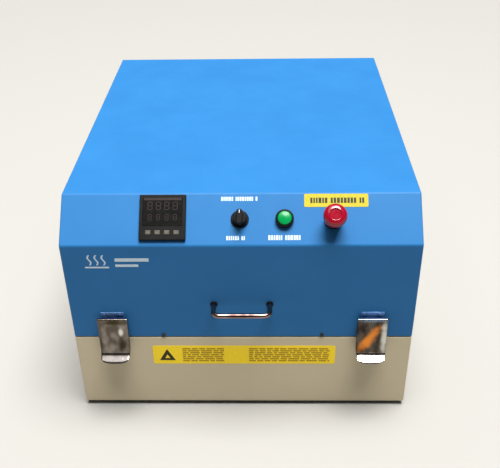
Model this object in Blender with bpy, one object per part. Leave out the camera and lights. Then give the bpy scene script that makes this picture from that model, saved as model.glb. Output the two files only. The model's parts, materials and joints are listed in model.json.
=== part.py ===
"""Clamshell bench reflow oven: a blue lid with the controls, hinged at the rear on a low beige base.

Metres, +Z up, the front facing -Y. The origin is on the surface that the feet stand on, under the
middle of the whole outline, so y = 0 lies midway between the handle's bar and the hinge knuckles.
"""

import math

import bmesh
import bpy
from mathutils import Matrix, Vector

# Case
WIDTH = 0.560
DEPTH = 0.660
FOOT_HEIGHT = 0.010
BASE_HEIGHT = 0.146
SEAM = 0.002
LID_FRONT_HEIGHT = 0.180
SLOPE_RUN = 0.059
SHEET = 0.0012
GAP = 0.0003

# What stands out of the case at the front and the rear
HANDLE_REACH = 0.034
HINGE_OUT = 0.0075
KNUCKLE_R = 0.0065

# Levels and faces worked out from these
FRONT = HANDLE_REACH - (DEPTH + HANDLE_REACH + HINGE_OUT + KNUCKLE_R) / 2
BACK = FRONT + DEPTH
SEAM_Z = FOOT_HEIGHT + BASE_HEIGHT
LID_Z = SEAM_Z + SEAM
SLOPE_Z = LID_Z + LID_FRONT_HEIGHT
TOP_Z = SLOPE_Z + SLOPE_RUN
HALF_W = WIDTH / 2

FOOT_X, FOOT_INSET = 0.225, 0.060

# Heated chamber, the same outline in the base and in the lid
CHAMBER_HALF_W = 0.200
CHAMBER_FRONT = FRONT + 0.060
CHAMBER_BACK = BACK - 0.100
CHAMBER_MID = (CHAMBER_FRONT + CHAMBER_BACK) / 2
CHAMBER_FLOOR = 0.048
CHAMBER_TOP = 0.250
INSULATION = 0.032
RACK_Z = 0.130
RACK_BAR = 0.004

# Heaters and circulation fan
HEATER_R = 0.006
HEATER_Z = 0.196
HEATER_PITCH = 0.120
BRACKET_X = 0.184
IMPELLER_R = 0.065
IMPELLER_Z = 0.216
SHAFT_R = 0.004
MOTOR_R = 0.040

# Control panel: places along X and up the slope
PANEL_S = 0.0415
CONTROLLER_X, CONTROLLER_S, CONTROLLER_SIZE = -0.120, 0.044, 0.072
KEY_PITCH = 0.0145
SELECTOR_X = -0.001
START_X = 0.068
ESTOP_X, ESTOP_S = 0.143, 0.039
HOLE_R = 0.0112
BARREL_DEPTH = 0.035

# Front fittings
HANDLE_HALF = 0.045
HANDLE_R = 0.004
HANDLE_Z = 0.225
LATCH_X = 0.2115
LATCH_Q = (0.0055, 0.138)
LATCH_P = (0.0085, 0.160)
LATCH_HALF, LATCH_T = 0.019, 0.0018
LEVER_HALF, LEVER_T = 0.025, 0.0014
EAR_X = 0.0145
EAR_T = 0.002

# Rear fittings
HINGE_X = 0.170
HINGE_Z = SEAM_Z + SEAM / 2
PIN_R = 0.003
LEAF_HALF, LEAF_T = 0.034, 0.0023
KNUCKLE_HALF = 0.0117
FAN_X, FAN_Z, FAN_SIZE, FAN_DEPTH = 0.160, 0.300, 0.080, 0.025
FAN_BORE_R = 0.037
INLET_X, INLET_Z = -0.205, 0.245
SWITCH_X = -0.155

FINISHES = {
    "blue_paint": ("2E86D6", 0.35, 0.0),
    "beige_paint": ("B0A488", 0.45, 0.0),
    "stainless": ("B8B8B4", 0.30, 1.0),
    "zinc_steel": ("9A9C9E", 0.40, 1.0),
    "chrome": ("D8DADC", 0.08, 1.0),
    "ceramic_fibre": ("E6E2D6", 0.90, 0.0),
    "glass_rope": ("D8D2C0", 0.90, 0.0),
    "quartz": ("E8E8E8", 0.10, 0.0),
    "rubber": ("1C1C1C", 0.80, 0.0),
    "black_plastic": ("242424", 0.40, 0.0),
    "grey_plastic": ("8C8C86", 0.45, 0.0),
    "dark_window": ("121314", 0.08, 0.0),
    "green_lens": ("12B864", 0.15, 0.0),
    "red_plastic": ("D01038", 0.25, 0.0),
    "aluminium": ("C4C6C8", 0.35, 1.0),
}


def linear(hex_colour):
    """Linear RGBA of an sRGB hex colour."""
    channels = [int(hex_colour[i : i + 2], 16) / 255 for i in (0, 2, 4)]
    return [c / 12.92 if c <= 0.04045 else ((c + 0.055) / 1.055) ** 2.4 for c in channels] + [1.0]


def material_for(node, finish):
    """A material of the node's own, in one of the finishes above."""
    colour, roughness, metallic = FINISHES[finish]
    material = bpy.data.materials.new(f"{node}_{finish}")
    material.use_nodes = True
    shader = material.node_tree.nodes["Principled BSDF"]
    shader.inputs["Base Color"].default_value = linear(colour)
    shader.inputs["Roughness"].default_value = roughness
    shader.inputs["Metallic"].default_value = metallic
    return material


def add(name, bm, finish, origin=(0, 0, 0), parent=None):
    """An object from a bmesh drawn in its parent's frame, with the object's own origin at origin."""
    bmesh.ops.recalc_face_normals(bm, faces=bm.faces)
    bmesh.ops.translate(bm, vec=-Vector(origin), verts=bm.verts)
    mesh = bpy.data.meshes.new(name)
    bm.to_mesh(mesh)
    bm.free()
    obj = bpy.data.objects.new(name, mesh)
    obj.location = origin
    obj.parent = parent
    bpy.context.scene.collection.objects.link(obj)
    if finish:
        mesh.materials.append(material_for(name, finish))
        mesh.shade_smooth()
        mesh.set_sharp_from_angle(angle=math.radians(35))
    return obj


def combine(obj, shapes, operation, parent=None):
    """Cuts the shapes from an object, or joins them to it."""
    for number, bm in enumerate(shapes, len(obj.modifiers)):
        tool = add(f"{obj.name}_tool_{number}", bm, None, parent=parent)
        tool.hide_render = True
        tool.display_type = "WIRE"
        modifier = obj.modifiers.new(f"{operation.lower()}_{number}", "BOOLEAN")
        modifier.operation = operation
        modifier.object = tool
        modifier.solver = "EXACT"
    return obj


def cut(obj, shapes, parent=None):
    return combine(obj, shapes, "DIFFERENCE", parent)


def join(obj, shapes, parent=None):
    return combine(obj, shapes, "UNION", parent)


def block(low, high):
    """A box between two corners."""
    bm = bmesh.new()
    bmesh.ops.create_cube(bm, size=1.0)
    size = [b - a for a, b in zip(low, high)]
    middle = [(a + b) / 2 for a, b in zip(low, high)]
    bmesh.ops.scale(bm, vec=size, verts=bm.verts)
    bmesh.ops.translate(bm, vec=middle, verts=bm.verts)
    return bm


def prism(outline, start, end, axis="X"):
    """An outline in the other two axes, in their own order, extruded along an axis."""
    place = {
        "X": lambda u, v, w: (w, u, v),
        "Y": lambda u, v, w: (u, w, v),
        "Z": lambda u, v, w: (u, v, w),
    }[axis]
    bm = bmesh.new()
    face = bm.faces.new([bm.verts.new(place(u, v, start)) for u, v in outline])
    raised = bmesh.ops.extrude_face_region(bm, geom=[face])["geom"]
    step = Vector(place(0, 0, end - start))
    bmesh.ops.translate(bm, vec=step, verts=[v for v in raised if isinstance(v, bmesh.types.BMVert)])
    return bm


def turned(profile, centre=(0, 0, 0), axis="Z", segments=24):
    """A profile of (radius, height) points spun about an axis through centre."""
    bm = bmesh.new()
    verts = [bm.verts.new((r, 0, h)) for r, h in profile]
    edges = [bm.edges.new(pair) for pair in zip(verts, verts[1:])]
    if profile[0][0] > 0 or profile[-1][0] > 0:
        edges.append(bm.edges.new((verts[-1], verts[0])))
    bmesh.ops.spin(
        bm, geom=verts + edges, cent=(0, 0, 0), axis=(0, 0, 1), angle=math.tau, steps=segments
    )
    bmesh.ops.remove_doubles(bm, verts=bm.verts, dist=1e-6)
    turn = {
        "X": Matrix.Rotation(math.radians(90), 4, "Y"),
        "Y": Matrix.Rotation(math.radians(-90), 4, "X"),
        "Z": Matrix.Identity(4),
    }[axis]
    bmesh.ops.transform(bm, matrix=Matrix.Translation(centre) @ turn, verts=bm.verts)
    return bm


def rod(radius, start, end, centre=(0, 0, 0), axis="Z", segments=16):
    """A plain cylinder between two heights along an axis."""
    profile = [(0, start), (radius, start), (radius, end), (0, end)]
    return turned(profile, centre, axis, segments)


def ring_plate(outer, inner, low_z, high_z):
    """A rectangular ring between two (half width, front, back) outlines."""
    bm = bmesh.new()
    loops = []
    for half, front, back in (outer, inner):
        corners = [(-half, front), (half, front), (half, back), (-half, back)]
        loops.append([bm.verts.new((x, y, low_z)) for x, y in corners])
    for i in range(4):
        j = (i + 1) % 4
        bm.faces.new([loops[0][i], loops[0][j], loops[1][j], loops[1][i]])
    raised = bmesh.ops.extrude_face_region(bm, geom=bm.faces[:])["geom"]
    moved = [v for v in raised if isinstance(v, bmesh.types.BMVert)]
    bmesh.ops.translate(bm, vec=(0, 0, high_z - low_z), verts=moved)
    return bm


def chamber(grow=0.0):
    """(half width, front, back) of the chamber's outline, grown by a margin."""
    return (CHAMBER_HALF_W + grow, CHAMBER_FRONT - grow, CHAMBER_BACK + grow)


def chamber_block(grow, low_z, high_z):
    half, front, back = chamber(grow)
    return block((-half, front, low_z), (half, back, high_z))


def wheel_outline(hub_r, tip_r, blades, thickness):
    """The outline of a paddle wheel: a hub with straight radial blades."""
    points = []
    for i in range(blades):
        angle = math.tau * i / blades
        out = Vector((math.cos(angle), math.sin(angle)))
        side = Vector((-out.y, out.x)) * thickness / 2
        points += [out * hub_r - side, out * tip_r - side, out * tip_r + side, out * hub_r + side]
    return [tuple(p) for p in points]


def strip_outline(path, thickness):
    """The closed outline of a bent strip of sheet around its middle line."""
    points = [Vector(p) for p in path]
    sides = ([], [])
    for i, point in enumerate(points):
        before = (point - points[i - 1]).normalized() if i else None
        after = (points[i + 1] - point).normalized() if i + 1 < len(points) else None
        along = ((before or after) + (after or before)).normalized()
        across = Vector((-along.y, along.x))
        reach = thickness / 2 / max(0.5, along.dot(before or after))
        sides[0].append(tuple(point + across * reach))
        sides[1].append(tuple(point - across * reach))
    return sides[0] + sides[1][::-1]


def wire(name, path, radius, finish, origin, cyclic=False):
    """A round wire or bar along a path, as a curve with a bevel."""
    curve = bpy.data.curves.new(name, "CURVE")
    curve.dimensions = "3D"
    curve.bevel_depth = radius
    curve.bevel_resolution = 2
    curve.use_fill_caps = not cyclic
    spline = curve.splines.new("POLY")
    spline.points.add(len(path) - 1)
    for point, place in zip(spline.points, path):
        point.co = (*(Vector(place) - Vector(origin)), 1.0)
    spline.use_cyclic_u = cyclic
    curve.materials.append(material_for(name, finish))
    obj = bpy.data.objects.new(name, curve)
    obj.location = origin
    bpy.context.scene.collection.objects.link(obj)
    return obj


def make_base():
    low = (-HALF_W, FRONT, FOOT_HEIGHT)
    case = add("base_case", block(low, (HALF_W, BACK, SEAM_Z)), "beige_paint")
    inside = block(
        (-HALF_W + SHEET, FRONT + SHEET, 0), (HALF_W - SHEET, BACK - SHEET, SEAM_Z - SHEET)
    )
    cut(case, [inside, chamber_block(GAP, FOOT_HEIGHT, SEAM_Z + SHEET)])
    edge = SHEET + GAP
    add(
        "bottom_plate",
        block(
            (-HALF_W + edge, FRONT + edge, FOOT_HEIGHT + GAP),
            (HALF_W - edge, BACK - edge, FOOT_HEIGHT + GAP + SHEET),
        ),
        "zinc_steel",
    )
    profile = [(0, 0), (0.0135, 0), (0.0150, 0.0015), (0.0135, FOOT_HEIGHT), (0, FOOT_HEIGHT)]
    for row, y in (("front", FRONT + FOOT_INSET), ("rear", BACK - FOOT_INSET)):
        for side, x in (("left", -FOOT_X), ("right", FOOT_X)):
            add(f"foot_{row}_{side}", turned(profile, (x, y, 0), segments=16), "rubber")


def make_lower_chamber():
    liner = add("lower_liner", chamber_block(0, CHAMBER_FLOOR, SEAM_Z), "stainless")
    cut(liner, [chamber_block(-SHEET, CHAMBER_FLOOR + SHEET, SEAM_Z + SHEET)])
    bottom = FOOT_HEIGHT + 2 * GAP + SHEET
    fibre = add(
        "lower_insulation",
        chamber_block(INSULATION, bottom, SEAM_Z - SHEET - GAP),
        "ceramic_fibre",
    )
    cut(fibre, [chamber_block(GAP, CHAMBER_FLOOR - GAP, SEAM_Z)])
    add(
        "lid_gasket",
        ring_plate(chamber(0.022), chamber(0.010), SEAM_Z + GAP, LID_Z - GAP),
        "glass_rope",
    )


def make_rack():
    """A welded grid of crosswise bars in a frame, on four legs that stand on the liner's floor."""
    half, front, back = chamber(-0.010)
    bars = 15
    lines_y = []
    for i in range(bars):
        y = front + (back - front - RACK_BAR) * i / (bars - 1)
        lines_y += [y, y + RACK_BAR]
    lines_x = []
    for x in (-half, -RACK_BAR / 2, half - RACK_BAR):
        lines_x += [x, x + RACK_BAR]
    bm = bmesh.new()
    grid = [[bm.verts.new((x, y, RACK_Z)) for y in lines_y] for x in lines_x]
    legs = []
    for i in range(len(lines_x) - 1):
        for j in range(len(lines_y) - 1):
            if i % 2 and j % 2:
                continue
            corners = [grid[i][j], grid[i + 1][j], grid[i + 1][j + 1], grid[i][j + 1]]
            face = bm.faces.new(corners)
            if i in (0, len(lines_x) - 2) and j in (0, len(lines_y) - 2):
                legs.append(face)
    drop = CHAMBER_FLOOR + SHEET + GAP - RACK_Z
    top = bmesh.ops.extrude_face_region(bm, geom=bm.faces[:], use_keep_orig=True)["geom"]
    raised = [v for v in top if isinstance(v, bmesh.types.BMVert)]
    bmesh.ops.translate(bm, vec=(0, 0, RACK_BAR), verts=raised)
    feet = bmesh.ops.extrude_discrete_faces(bm, faces=legs)["faces"]
    for face in feet:
        bmesh.ops.translate(bm, vec=(0, 0, drop), verts=face.verts)
    add("product_rack", bm, "stainless")


def make_lid_case():
    fold = SHEET * math.tan(math.radians(22.5))
    outline = [
        (FRONT, LID_Z),
        (FRONT, SLOPE_Z),
        (FRONT + SLOPE_RUN, TOP_Z),
        (BACK, TOP_Z),
        (BACK, LID_Z),
    ]
    hollow = [
        (FRONT + SHEET, LID_Z - 0.01),
        (FRONT + SHEET, SLOPE_Z - fold),
        (FRONT + SLOPE_RUN + fold, TOP_Z - SHEET),
        (BACK + 0.01, TOP_Z - SHEET),
        (BACK + 0.01, LID_Z - 0.01),
    ]
    shell = add("lid_shell", prism(outline, -HALF_W, HALF_W), "blue_paint")
    cut(shell, [prism(hollow, -HALF_W + SHEET, HALF_W - SHEET)])
    edge = SHEET + GAP
    deck = add(
        "lid_deck",
        block((-HALF_W + edge, FRONT + edge, LID_Z), (HALF_W - edge, BACK - edge, LID_Z + SHEET)),
        "stainless",
    )
    cut(deck, [chamber_block(GAP, LID_Z - 0.01, LID_Z + 0.01)])
    rear = add(
        "lid_rear_panel",
        block((-HALF_W + edge, BACK - SHEET, LID_Z), (HALF_W - edge, BACK, TOP_Z - edge)),
        "blue_paint",
    )
    through = (BACK - 0.01, BACK + 0.01)
    fan_hole = rod(FAN_BORE_R, -0.01, 0.01, (FAN_X, BACK, FAN_Z), "Y", 24)
    inlet_hole = block(
        (INLET_X - 0.0145, through[0], INLET_Z - 0.0110),
        (INLET_X + 0.0145, through[1], INLET_Z + 0.0110),
    )
    switch_hole = block(
        (SWITCH_X - 0.0070, through[0], INLET_Z - 0.0100),
        (SWITCH_X + 0.0070, through[1], INLET_Z + 0.0100),
    )
    cut(rear, [fan_hole, inlet_hole, switch_hole])
    return shell


def make_upper_chamber():
    liner = add("upper_liner", chamber_block(0, LID_Z, CHAMBER_TOP), "stainless")
    shaft_hole = rod(0.006, 0, 0.2, (0, CHAMBER_MID, 0.200), segments=12)
    cut(liner, [chamber_block(-SHEET, LID_Z - 0.01, CHAMBER_TOP - SHEET), shaft_hole])
    top = CHAMBER_TOP + INSULATION
    fibre = add(
        "upper_insulation",
        chamber_block(INSULATION, LID_Z + SHEET + GAP, top),
        "ceramic_fibre",
    )
    shaft_hole = rod(0.008, 0, 0.2, (0, CHAMBER_MID, 0.200), segments=12)
    cut(fibre, [chamber_block(GAP, LID_Z - 0.01, CHAMBER_TOP + GAP), shaft_hole])


def make_heaters():
    rows = [CHAMBER_MID + HEATER_PITCH * (i - 1.5) for i in range(4)]
    reach = BRACKET_X + 0.010
    for number, y in enumerate(rows, 1):
        tube = rod(HEATER_R, -reach, reach, (0, y, HEATER_Z), "X")
        add(f"heater_tube_{number}", tube, "quartz")
    for side, sign in (("left", -1), ("right", 1)):
        ends = sorted((sign * BRACKET_X, sign * (BRACKET_X + SHEET)))
        plate = block(
            (ends[0], rows[0] - 0.020, HEATER_Z - 0.012),
            (ends[1], rows[-1] + 0.020, CHAMBER_TOP - SHEET - GAP),
        )
        bracket = add(f"heater_bracket_{side}", plate, "stainless")
        middle = sign * BRACKET_X
        holes = [
            rod(HEATER_R + 2 * GAP, -0.01, 0.01, (middle, y, HEATER_Z), "X", 12) for y in rows
        ]
        cut(bracket, holes)


def make_circulation_fan():
    """A paddle wheel under the chamber's top, on a shaft up through the insulation to its motor."""
    centre = (0, CHAMBER_MID, 0)
    motor_z = CHAMBER_TOP + INSULATION + 0.008
    bore = SHAFT_R + GAP
    profile = [
        (0, motor_z + 0.060),
        (MOTOR_R, motor_z + 0.060),
        (MOTOR_R, motor_z),
        (bore, motor_z),
        (bore, motor_z + 0.012),
        (0, motor_z + 0.012),
    ]
    add("circulation_fan_motor", turned(profile, centre), "aluminium")
    blades = wheel_outline(0.016, IMPELLER_R, 8, 0.002)
    wheel = prism(blades, IMPELLER_Z, IMPELLER_Z + 0.024, "Z")
    bmesh.ops.translate(wheel, vec=centre, verts=wheel.verts)
    impeller = add("circulation_fan_impeller", wheel, "stainless", origin=(*centre[:2], IMPELLER_Z))
    disc = rod(IMPELLER_R, IMPELLER_Z + 0.0228, IMPELLER_Z + 0.0245, centre, segments=24)
    shaft = rod(SHAFT_R, IMPELLER_Z + 0.001, motor_z + 0.010, centre, segments=12)
    join(impeller, [disc, shaft])


def make_cooling_fan():
    inner = BACK - SHEET - GAP
    half = FAN_SIZE / 2
    frame = add(
        "cooling_fan_frame",
        block(
            (FAN_X - half, inner - FAN_DEPTH, FAN_Z - half), (FAN_X + half, inner, FAN_Z + half)
        ),
        "black_plastic",
    )
    centre = (FAN_X, inner, FAN_Z)
    cut(frame, [rod(FAN_BORE_R, -0.1, 0.1, centre, "Y", 24)])
    hub_r, arm_half, spider = 0.016, 0.002, 0.003
    y_low, y_high = inner - FAN_DEPTH, inner - FAN_DEPTH + spider
    arm_length = half - 0.002
    arms = [rod(hub_r, -FAN_DEPTH, spider - FAN_DEPTH, centre, "Y", 16)]
    for dx, dz in ((arm_length, arm_half), (arm_half, arm_length)):
        arms.append(block((FAN_X - dx, y_low, FAN_Z - dz), (FAN_X + dx, y_high, FAN_Z + dz)))
    join(frame, arms)
    blades = wheel_outline(hub_r, FAN_BORE_R - 0.0015, 7, 0.0025)
    rotor_low, rotor_high = y_high + 0.0005, inner - 0.004
    rotor = prism([(x + FAN_X, z + FAN_Z) for x, z in blades], rotor_low, rotor_high, "Y")
    add("cooling_fan_rotor", rotor, "black_plastic", origin=(FAN_X, rotor_low, FAN_Z))
    make_fan_guard()


def make_fan_guard():
    """Flat rings and spokes, extruded through the guard's thickness."""
    radii = [0.010, 0.013, 0.024, 0.027, 0.038, 0.041]
    steps = 24
    y = BACK + GAP
    bm = bmesh.new()
    rings = []
    for r in radii:
        angles = [math.tau * (i + 0.5) / steps for i in range(steps)]
        rings.append(
            [bm.verts.new((FAN_X + r * math.cos(a), y, FAN_Z + r * math.sin(a))) for a in angles]
        )
    for i in range(len(radii) - 1):
        for j in range(steps):
            if i % 2 and j % 6 != 5:
                continue
            k = (j + 1) % steps
            bm.faces.new([rings[i][j], rings[i + 1][j], rings[i + 1][k], rings[i][k]])
    raised = bmesh.ops.extrude_face_region(bm, geom=bm.faces[:], use_keep_orig=True)["geom"]
    moved = [v for v in raised if isinstance(v, bmesh.types.BMVert)]
    bmesh.ops.translate(bm, vec=(0, 0.0025, 0), verts=moved)
    add("cooling_fan_guard", bm, "chrome")


def make_control_panel(shell):
    """The controls on the slope, in a frame with X along it, Y up it and Z out of it."""
    panel = bpy.data.objects.new("control_panel_frame", None)
    panel.location = (0, FRONT, SLOPE_Z)
    panel.rotation_euler = (math.radians(45), 0, 0)
    bpy.context.scene.collection.objects.link(panel)
    window = CONTROLLER_SIZE / 2 - 0.0020
    openings = [
        block(
            (CONTROLLER_X - window, CONTROLLER_S - window, -0.01),
            (CONTROLLER_X + window, CONTROLLER_S + window, 0.01),
        )
    ]
    for x, s in ((SELECTOR_X, PANEL_S), (START_X, PANEL_S), (ESTOP_X, ESTOP_S)):
        openings.append(rod(HOLE_R, -0.01, 0.01, (x, s, 0), segments=16))
    cut(shell, openings, panel)
    make_controller(panel)
    make_selector(panel)
    make_start_button(panel)
    make_estop(panel)


def make_controller(panel):
    half = CONTROLLER_SIZE / 2
    x, s = CONTROLLER_X, CONTROLLER_S
    body = add(
        "controller_body",
        block((x - half, s - half, GAP), (x + half, s + half, 0.006)),
        "black_plastic",
        parent=panel,
    )
    rear = half - 0.0023
    join(body, [block((x - rear, s - rear, -0.060), (x + rear, s + rear, 0.003))], panel)
    window = ((x - 0.031, s - 0.014), (x + 0.031, s + 0.032))
    recess = block((*window[0], 0.0040), (*window[1], 0.010))
    keys = [(x + KEY_PITCH * (i - 1.5), s - 0.0240) for i in range(4)]
    pockets = [
        block((u - 0.0050, v - 0.0040, 0.0020), (u + 0.0050, v + 0.0040, 0.010)) for u, v in keys
    ]
    cut(body, [recess, *pockets], panel)
    inset = GAP
    add(
        "controller_window",
        block(
            (window[0][0] + inset, window[0][1] + inset, 0.0040 + GAP),
            (window[1][0] - inset, window[1][1] - inset, 0.0057),
        ),
        "dark_window",
        parent=panel,
    )
    for number, (u, v) in enumerate(keys, 1):
        key = block((u - 0.0046, v - 0.0036, 0.0027), (u + 0.0046, v + 0.0036, 0.0068))
        origin = (u, v, 0.0027)
        add(f"controller_key_{number}", key, "grey_plastic", origin, panel)


def make_selector(panel):
    centre = (SELECTOR_X, PANEL_S, 0)
    barrel = HOLE_R - GAP
    profile = [
        (0, 0.0030),
        (0.0125, 0.0030),
        (0.0140, 0.0018),
        (0.0140, GAP),
        (barrel, GAP),
        (barrel, -BARREL_DEPTH),
        (0, -BARREL_DEPTH),
    ]
    add("selector_body", turned(profile, centre), "black_plastic", parent=panel)
    cap = [(0, 0.0120), (0.0100, 0.0120), (0.0105, 0.0110), (0.0105, 0.0033), (0, 0.0033)]
    knob = add("selector_knob", turned(cap, centre), "black_plastic", centre, panel)
    x, s = SELECTOR_X, PANEL_S
    grip = block((x - 0.0045, s - 0.0115, 0.0060), (x + 0.0045, s + 0.0115, 0.0230))
    upright = [e for e in grip.edges if abs(e.verts[0].co.z - e.verts[1].co.z) > 0.01]
    bmesh.ops.bevel(grip, geom=upright, offset=0.0025, segments=2, affect="EDGES")
    join(knob, [grip], panel)


def make_start_button(panel):
    centre = (START_X, PANEL_S, 0)
    barrel = HOLE_R - GAP
    profile = [
        (0.0113, 0.0080),
        (0.0136, 0.0080),
        (0.0142, 0.0070),
        (0.0142, GAP),
        (barrel, GAP),
        (barrel, -BARREL_DEPTH),
        (0, -BARREL_DEPTH),
        (0, -0.002),
        (0.0100, -0.002),
        (0.0113, 0.0010),
    ]
    add("start_button_body", turned(profile, centre), "black_plastic", parent=panel)
    lens = [
        (0, 0.0122),
        (0.0070, 0.0118),
        (0.0105, 0.0106),
        (0.0109, 0.0095),
        (0.0109, 0.0045),
        (0, 0.0045),
    ]
    add("start_button_lens", turned(lens, centre), "green_lens", centre, panel)


def make_estop(panel):
    centre = (ESTOP_X, ESTOP_S, 0)
    barrel = HOLE_R - GAP
    profile = [
        (0.0080, 0.0140),
        (0.0135, 0.0140),
        (0.0145, 0.0125),
        (0.0145, GAP),
        (barrel, GAP),
        (barrel, -BARREL_DEPTH),
        (0, -BARREL_DEPTH),
        (0, 0.0020),
        (0.0080, 0.0020),
    ]
    add("estop_body", turned(profile, centre), "black_plastic", parent=panel)
    stem = [(0, 0.0245), (0.0077, 0.0245), (0.0077, 0.0082), (0, 0.0082)]
    add("estop_stem", turned(stem, centre, segments=16), "black_plastic", centre, panel)
    head = [
        (0, 0.0440),
        (0.0080, 0.0434),
        (0.0138, 0.0412),
        (0.0173, 0.0375),
        (0.0181, 0.0335),
        (0.0178, 0.0280),
        (0.0155, 0.0230),
        (0.0100, 0.0205),
        (0.0080, 0.0205),
        (0.0080, 0.0250),
        (0, 0.0250),
    ]
    add("estop_head", turned(head, centre), "red_plastic", centre, panel)


def make_handle():
    """A bent round bar: two legs and a straight grip, with rounded corners."""
    y_face = FRONT - GAP
    y_bar = FRONT - HANDLE_REACH + HANDLE_R
    bend = 0.010
    path = [(-HANDLE_HALF, y_face, HANDLE_Z)]
    for side in (-1, 1):
        corner = []
        for i in range(5):
            angle = math.radians(90 * i / 4)
            x = side * (HANDLE_HALF - bend + bend * math.cos(angle))
            corner.append((x, y_bar + bend - bend * math.sin(angle), HANDLE_Z))
        path += corner if side < 0 else corner[::-1]
    path.append((HANDLE_HALF, y_face, HANDLE_Z))
    wire("handle", path, HANDLE_R, "chrome", (0, FRONT, HANDLE_Z))


def front_point(x, out, z):
    """A point in front of the case's front face."""
    return (x, FRONT - out, z)


def front_prism(outline, x_low, x_high):
    """An outline of (distance in front of the case, height) points, extruded along X."""
    return prism([(FRONT - out, z) for out, z in outline], x_low, x_high)


def front_box(x_low, x_high, out_low, out_high, z_low, z_high):
    return block((x_low, FRONT - out_high, z_low), (x_high, FRONT - out_low, z_high))


def make_latch(side, x):
    """A draw latch: plate, bail and lever on the base, and the keeper that the lever pulls down."""
    plate = add(
        f"latch_plate_{side}", front_box(x - LATCH_HALF, x + LATCH_HALF, GAP, LATCH_T, 0.112, 0.150), "chrome"
    )
    q_out, q_z = LATCH_Q
    p_out, p_z = LATCH_P
    ears = [x + sign * (EAR_X + EAR_T / 2) for sign in (-1, 1)]
    half = EAR_T / 2
    join(
        plate,
        [front_box(e - half, e + half, 0.0012, 0.0085, q_z - 0.005, q_z + 0.005) for e in ears],
    )
    cut(plate, [rod(0.0018, -0.03, 0.03, front_point(x, q_out, q_z), "X", 12)])
    arm = EAR_X + EAR_T + 0.002
    loop = [
        front_point(x - arm, q_out, q_z),
        front_point(x + arm, q_out, q_z),
        front_point(x + arm, p_out, p_z),
        front_point(x - arm, p_out, p_z),
    ]
    origin = front_point(x, q_out, q_z)
    wire(f"latch_bail_{side}", loop, 0.0013, "zinc_steel", origin, cyclic=True)
    path = [
        (0.0069, 0.1985),
        (0.0075, 0.2012),
        (0.0090, 0.2020),
        (0.0105, 0.2008),
        (0.0108, 0.1970),
        (0.0151, 0.1370),
        (0.0170, 0.1328),
        (0.0310, 0.1238),
    ]
    lever = add(
        f"latch_lever_{side}",
        front_prism(strip_outline(path, LEVER_T), x - LEVER_HALF, x + LEVER_HALF),
        "chrome",
        origin=front_point(x, p_out, p_z),
    )
    join(
        lever,
        [front_box(e - half, e + half, 0.0062, 0.0132, p_z - 0.003, p_z + 0.003) for e in ears],
    )
    cut(lever, [rod(0.0018, -0.02, 0.02, front_point(x, p_out, p_z), "X", 12)])
    hook = [
        (GAP, 0.168),
        (LATCH_T, 0.168),
        (LATCH_T, 0.1935),
        (0.0055, 0.1935),
        (0.0055, 0.1950),
        (LATCH_T, 0.1950),
        (LATCH_T, 0.2095),
        (GAP, 0.2095),
    ]
    add(f"latch_keeper_{side}", front_prism(hook, x - LATCH_HALF, x + LATCH_HALF), "chrome")


def rear_box(x_low, x_high, out_low, out_high, z_low, z_high):
    return block((x_low, BACK + out_low, z_low), (x_high, BACK + out_high, z_high))


def make_hinge(side, x):
    """A three-knuckle hinge: two knuckles on the base leaf, one on the lid leaf, and their pin."""
    axis_point = (x, BACK + HINGE_OUT, HINGE_Z)
    bore = PIN_R + GAP
    base = add(
        f"hinge_base_leaf_{side}",
        rear_box(x - LEAF_HALF, x + LEAF_HALF, GAP, LEAF_T, 0.112, 0.146),
        "zinc_steel",
    )
    lid = add(
        f"hinge_lid_leaf_{side}",
        rear_box(x - LEAF_HALF, x + LEAF_HALF, GAP, LEAF_T, 0.168, 0.205),
        "zinc_steel",
        origin=axis_point,
    )
    inner = KNUCKLE_HALF + GAP
    for leaf, spans, z_low, z_high in (
        (base, ((-LEAF_HALF, -inner), (inner, LEAF_HALF)), 0.144, HINGE_Z),
        (lid, ((-KNUCKLE_HALF, KNUCKLE_HALF),), HINGE_Z, 0.170),
    ):
        shapes = []
        for low, high in spans:
            shapes.append(rear_box(x + low, x + high, GAP, LEAF_T, z_low, z_high))
            shapes.append(rod(KNUCKLE_R, low, high, axis_point, "X", 16))
        join(leaf, shapes)
        cut(leaf, [rod(bore, -0.04, 0.04, axis_point, "X", 12)])
    pin = rod(PIN_R, -LEAF_HALF, LEAF_HALF, axis_point, "X", 12)
    add(f"hinge_pin_{side}", pin, "zinc_steel", origin=axis_point)


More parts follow.
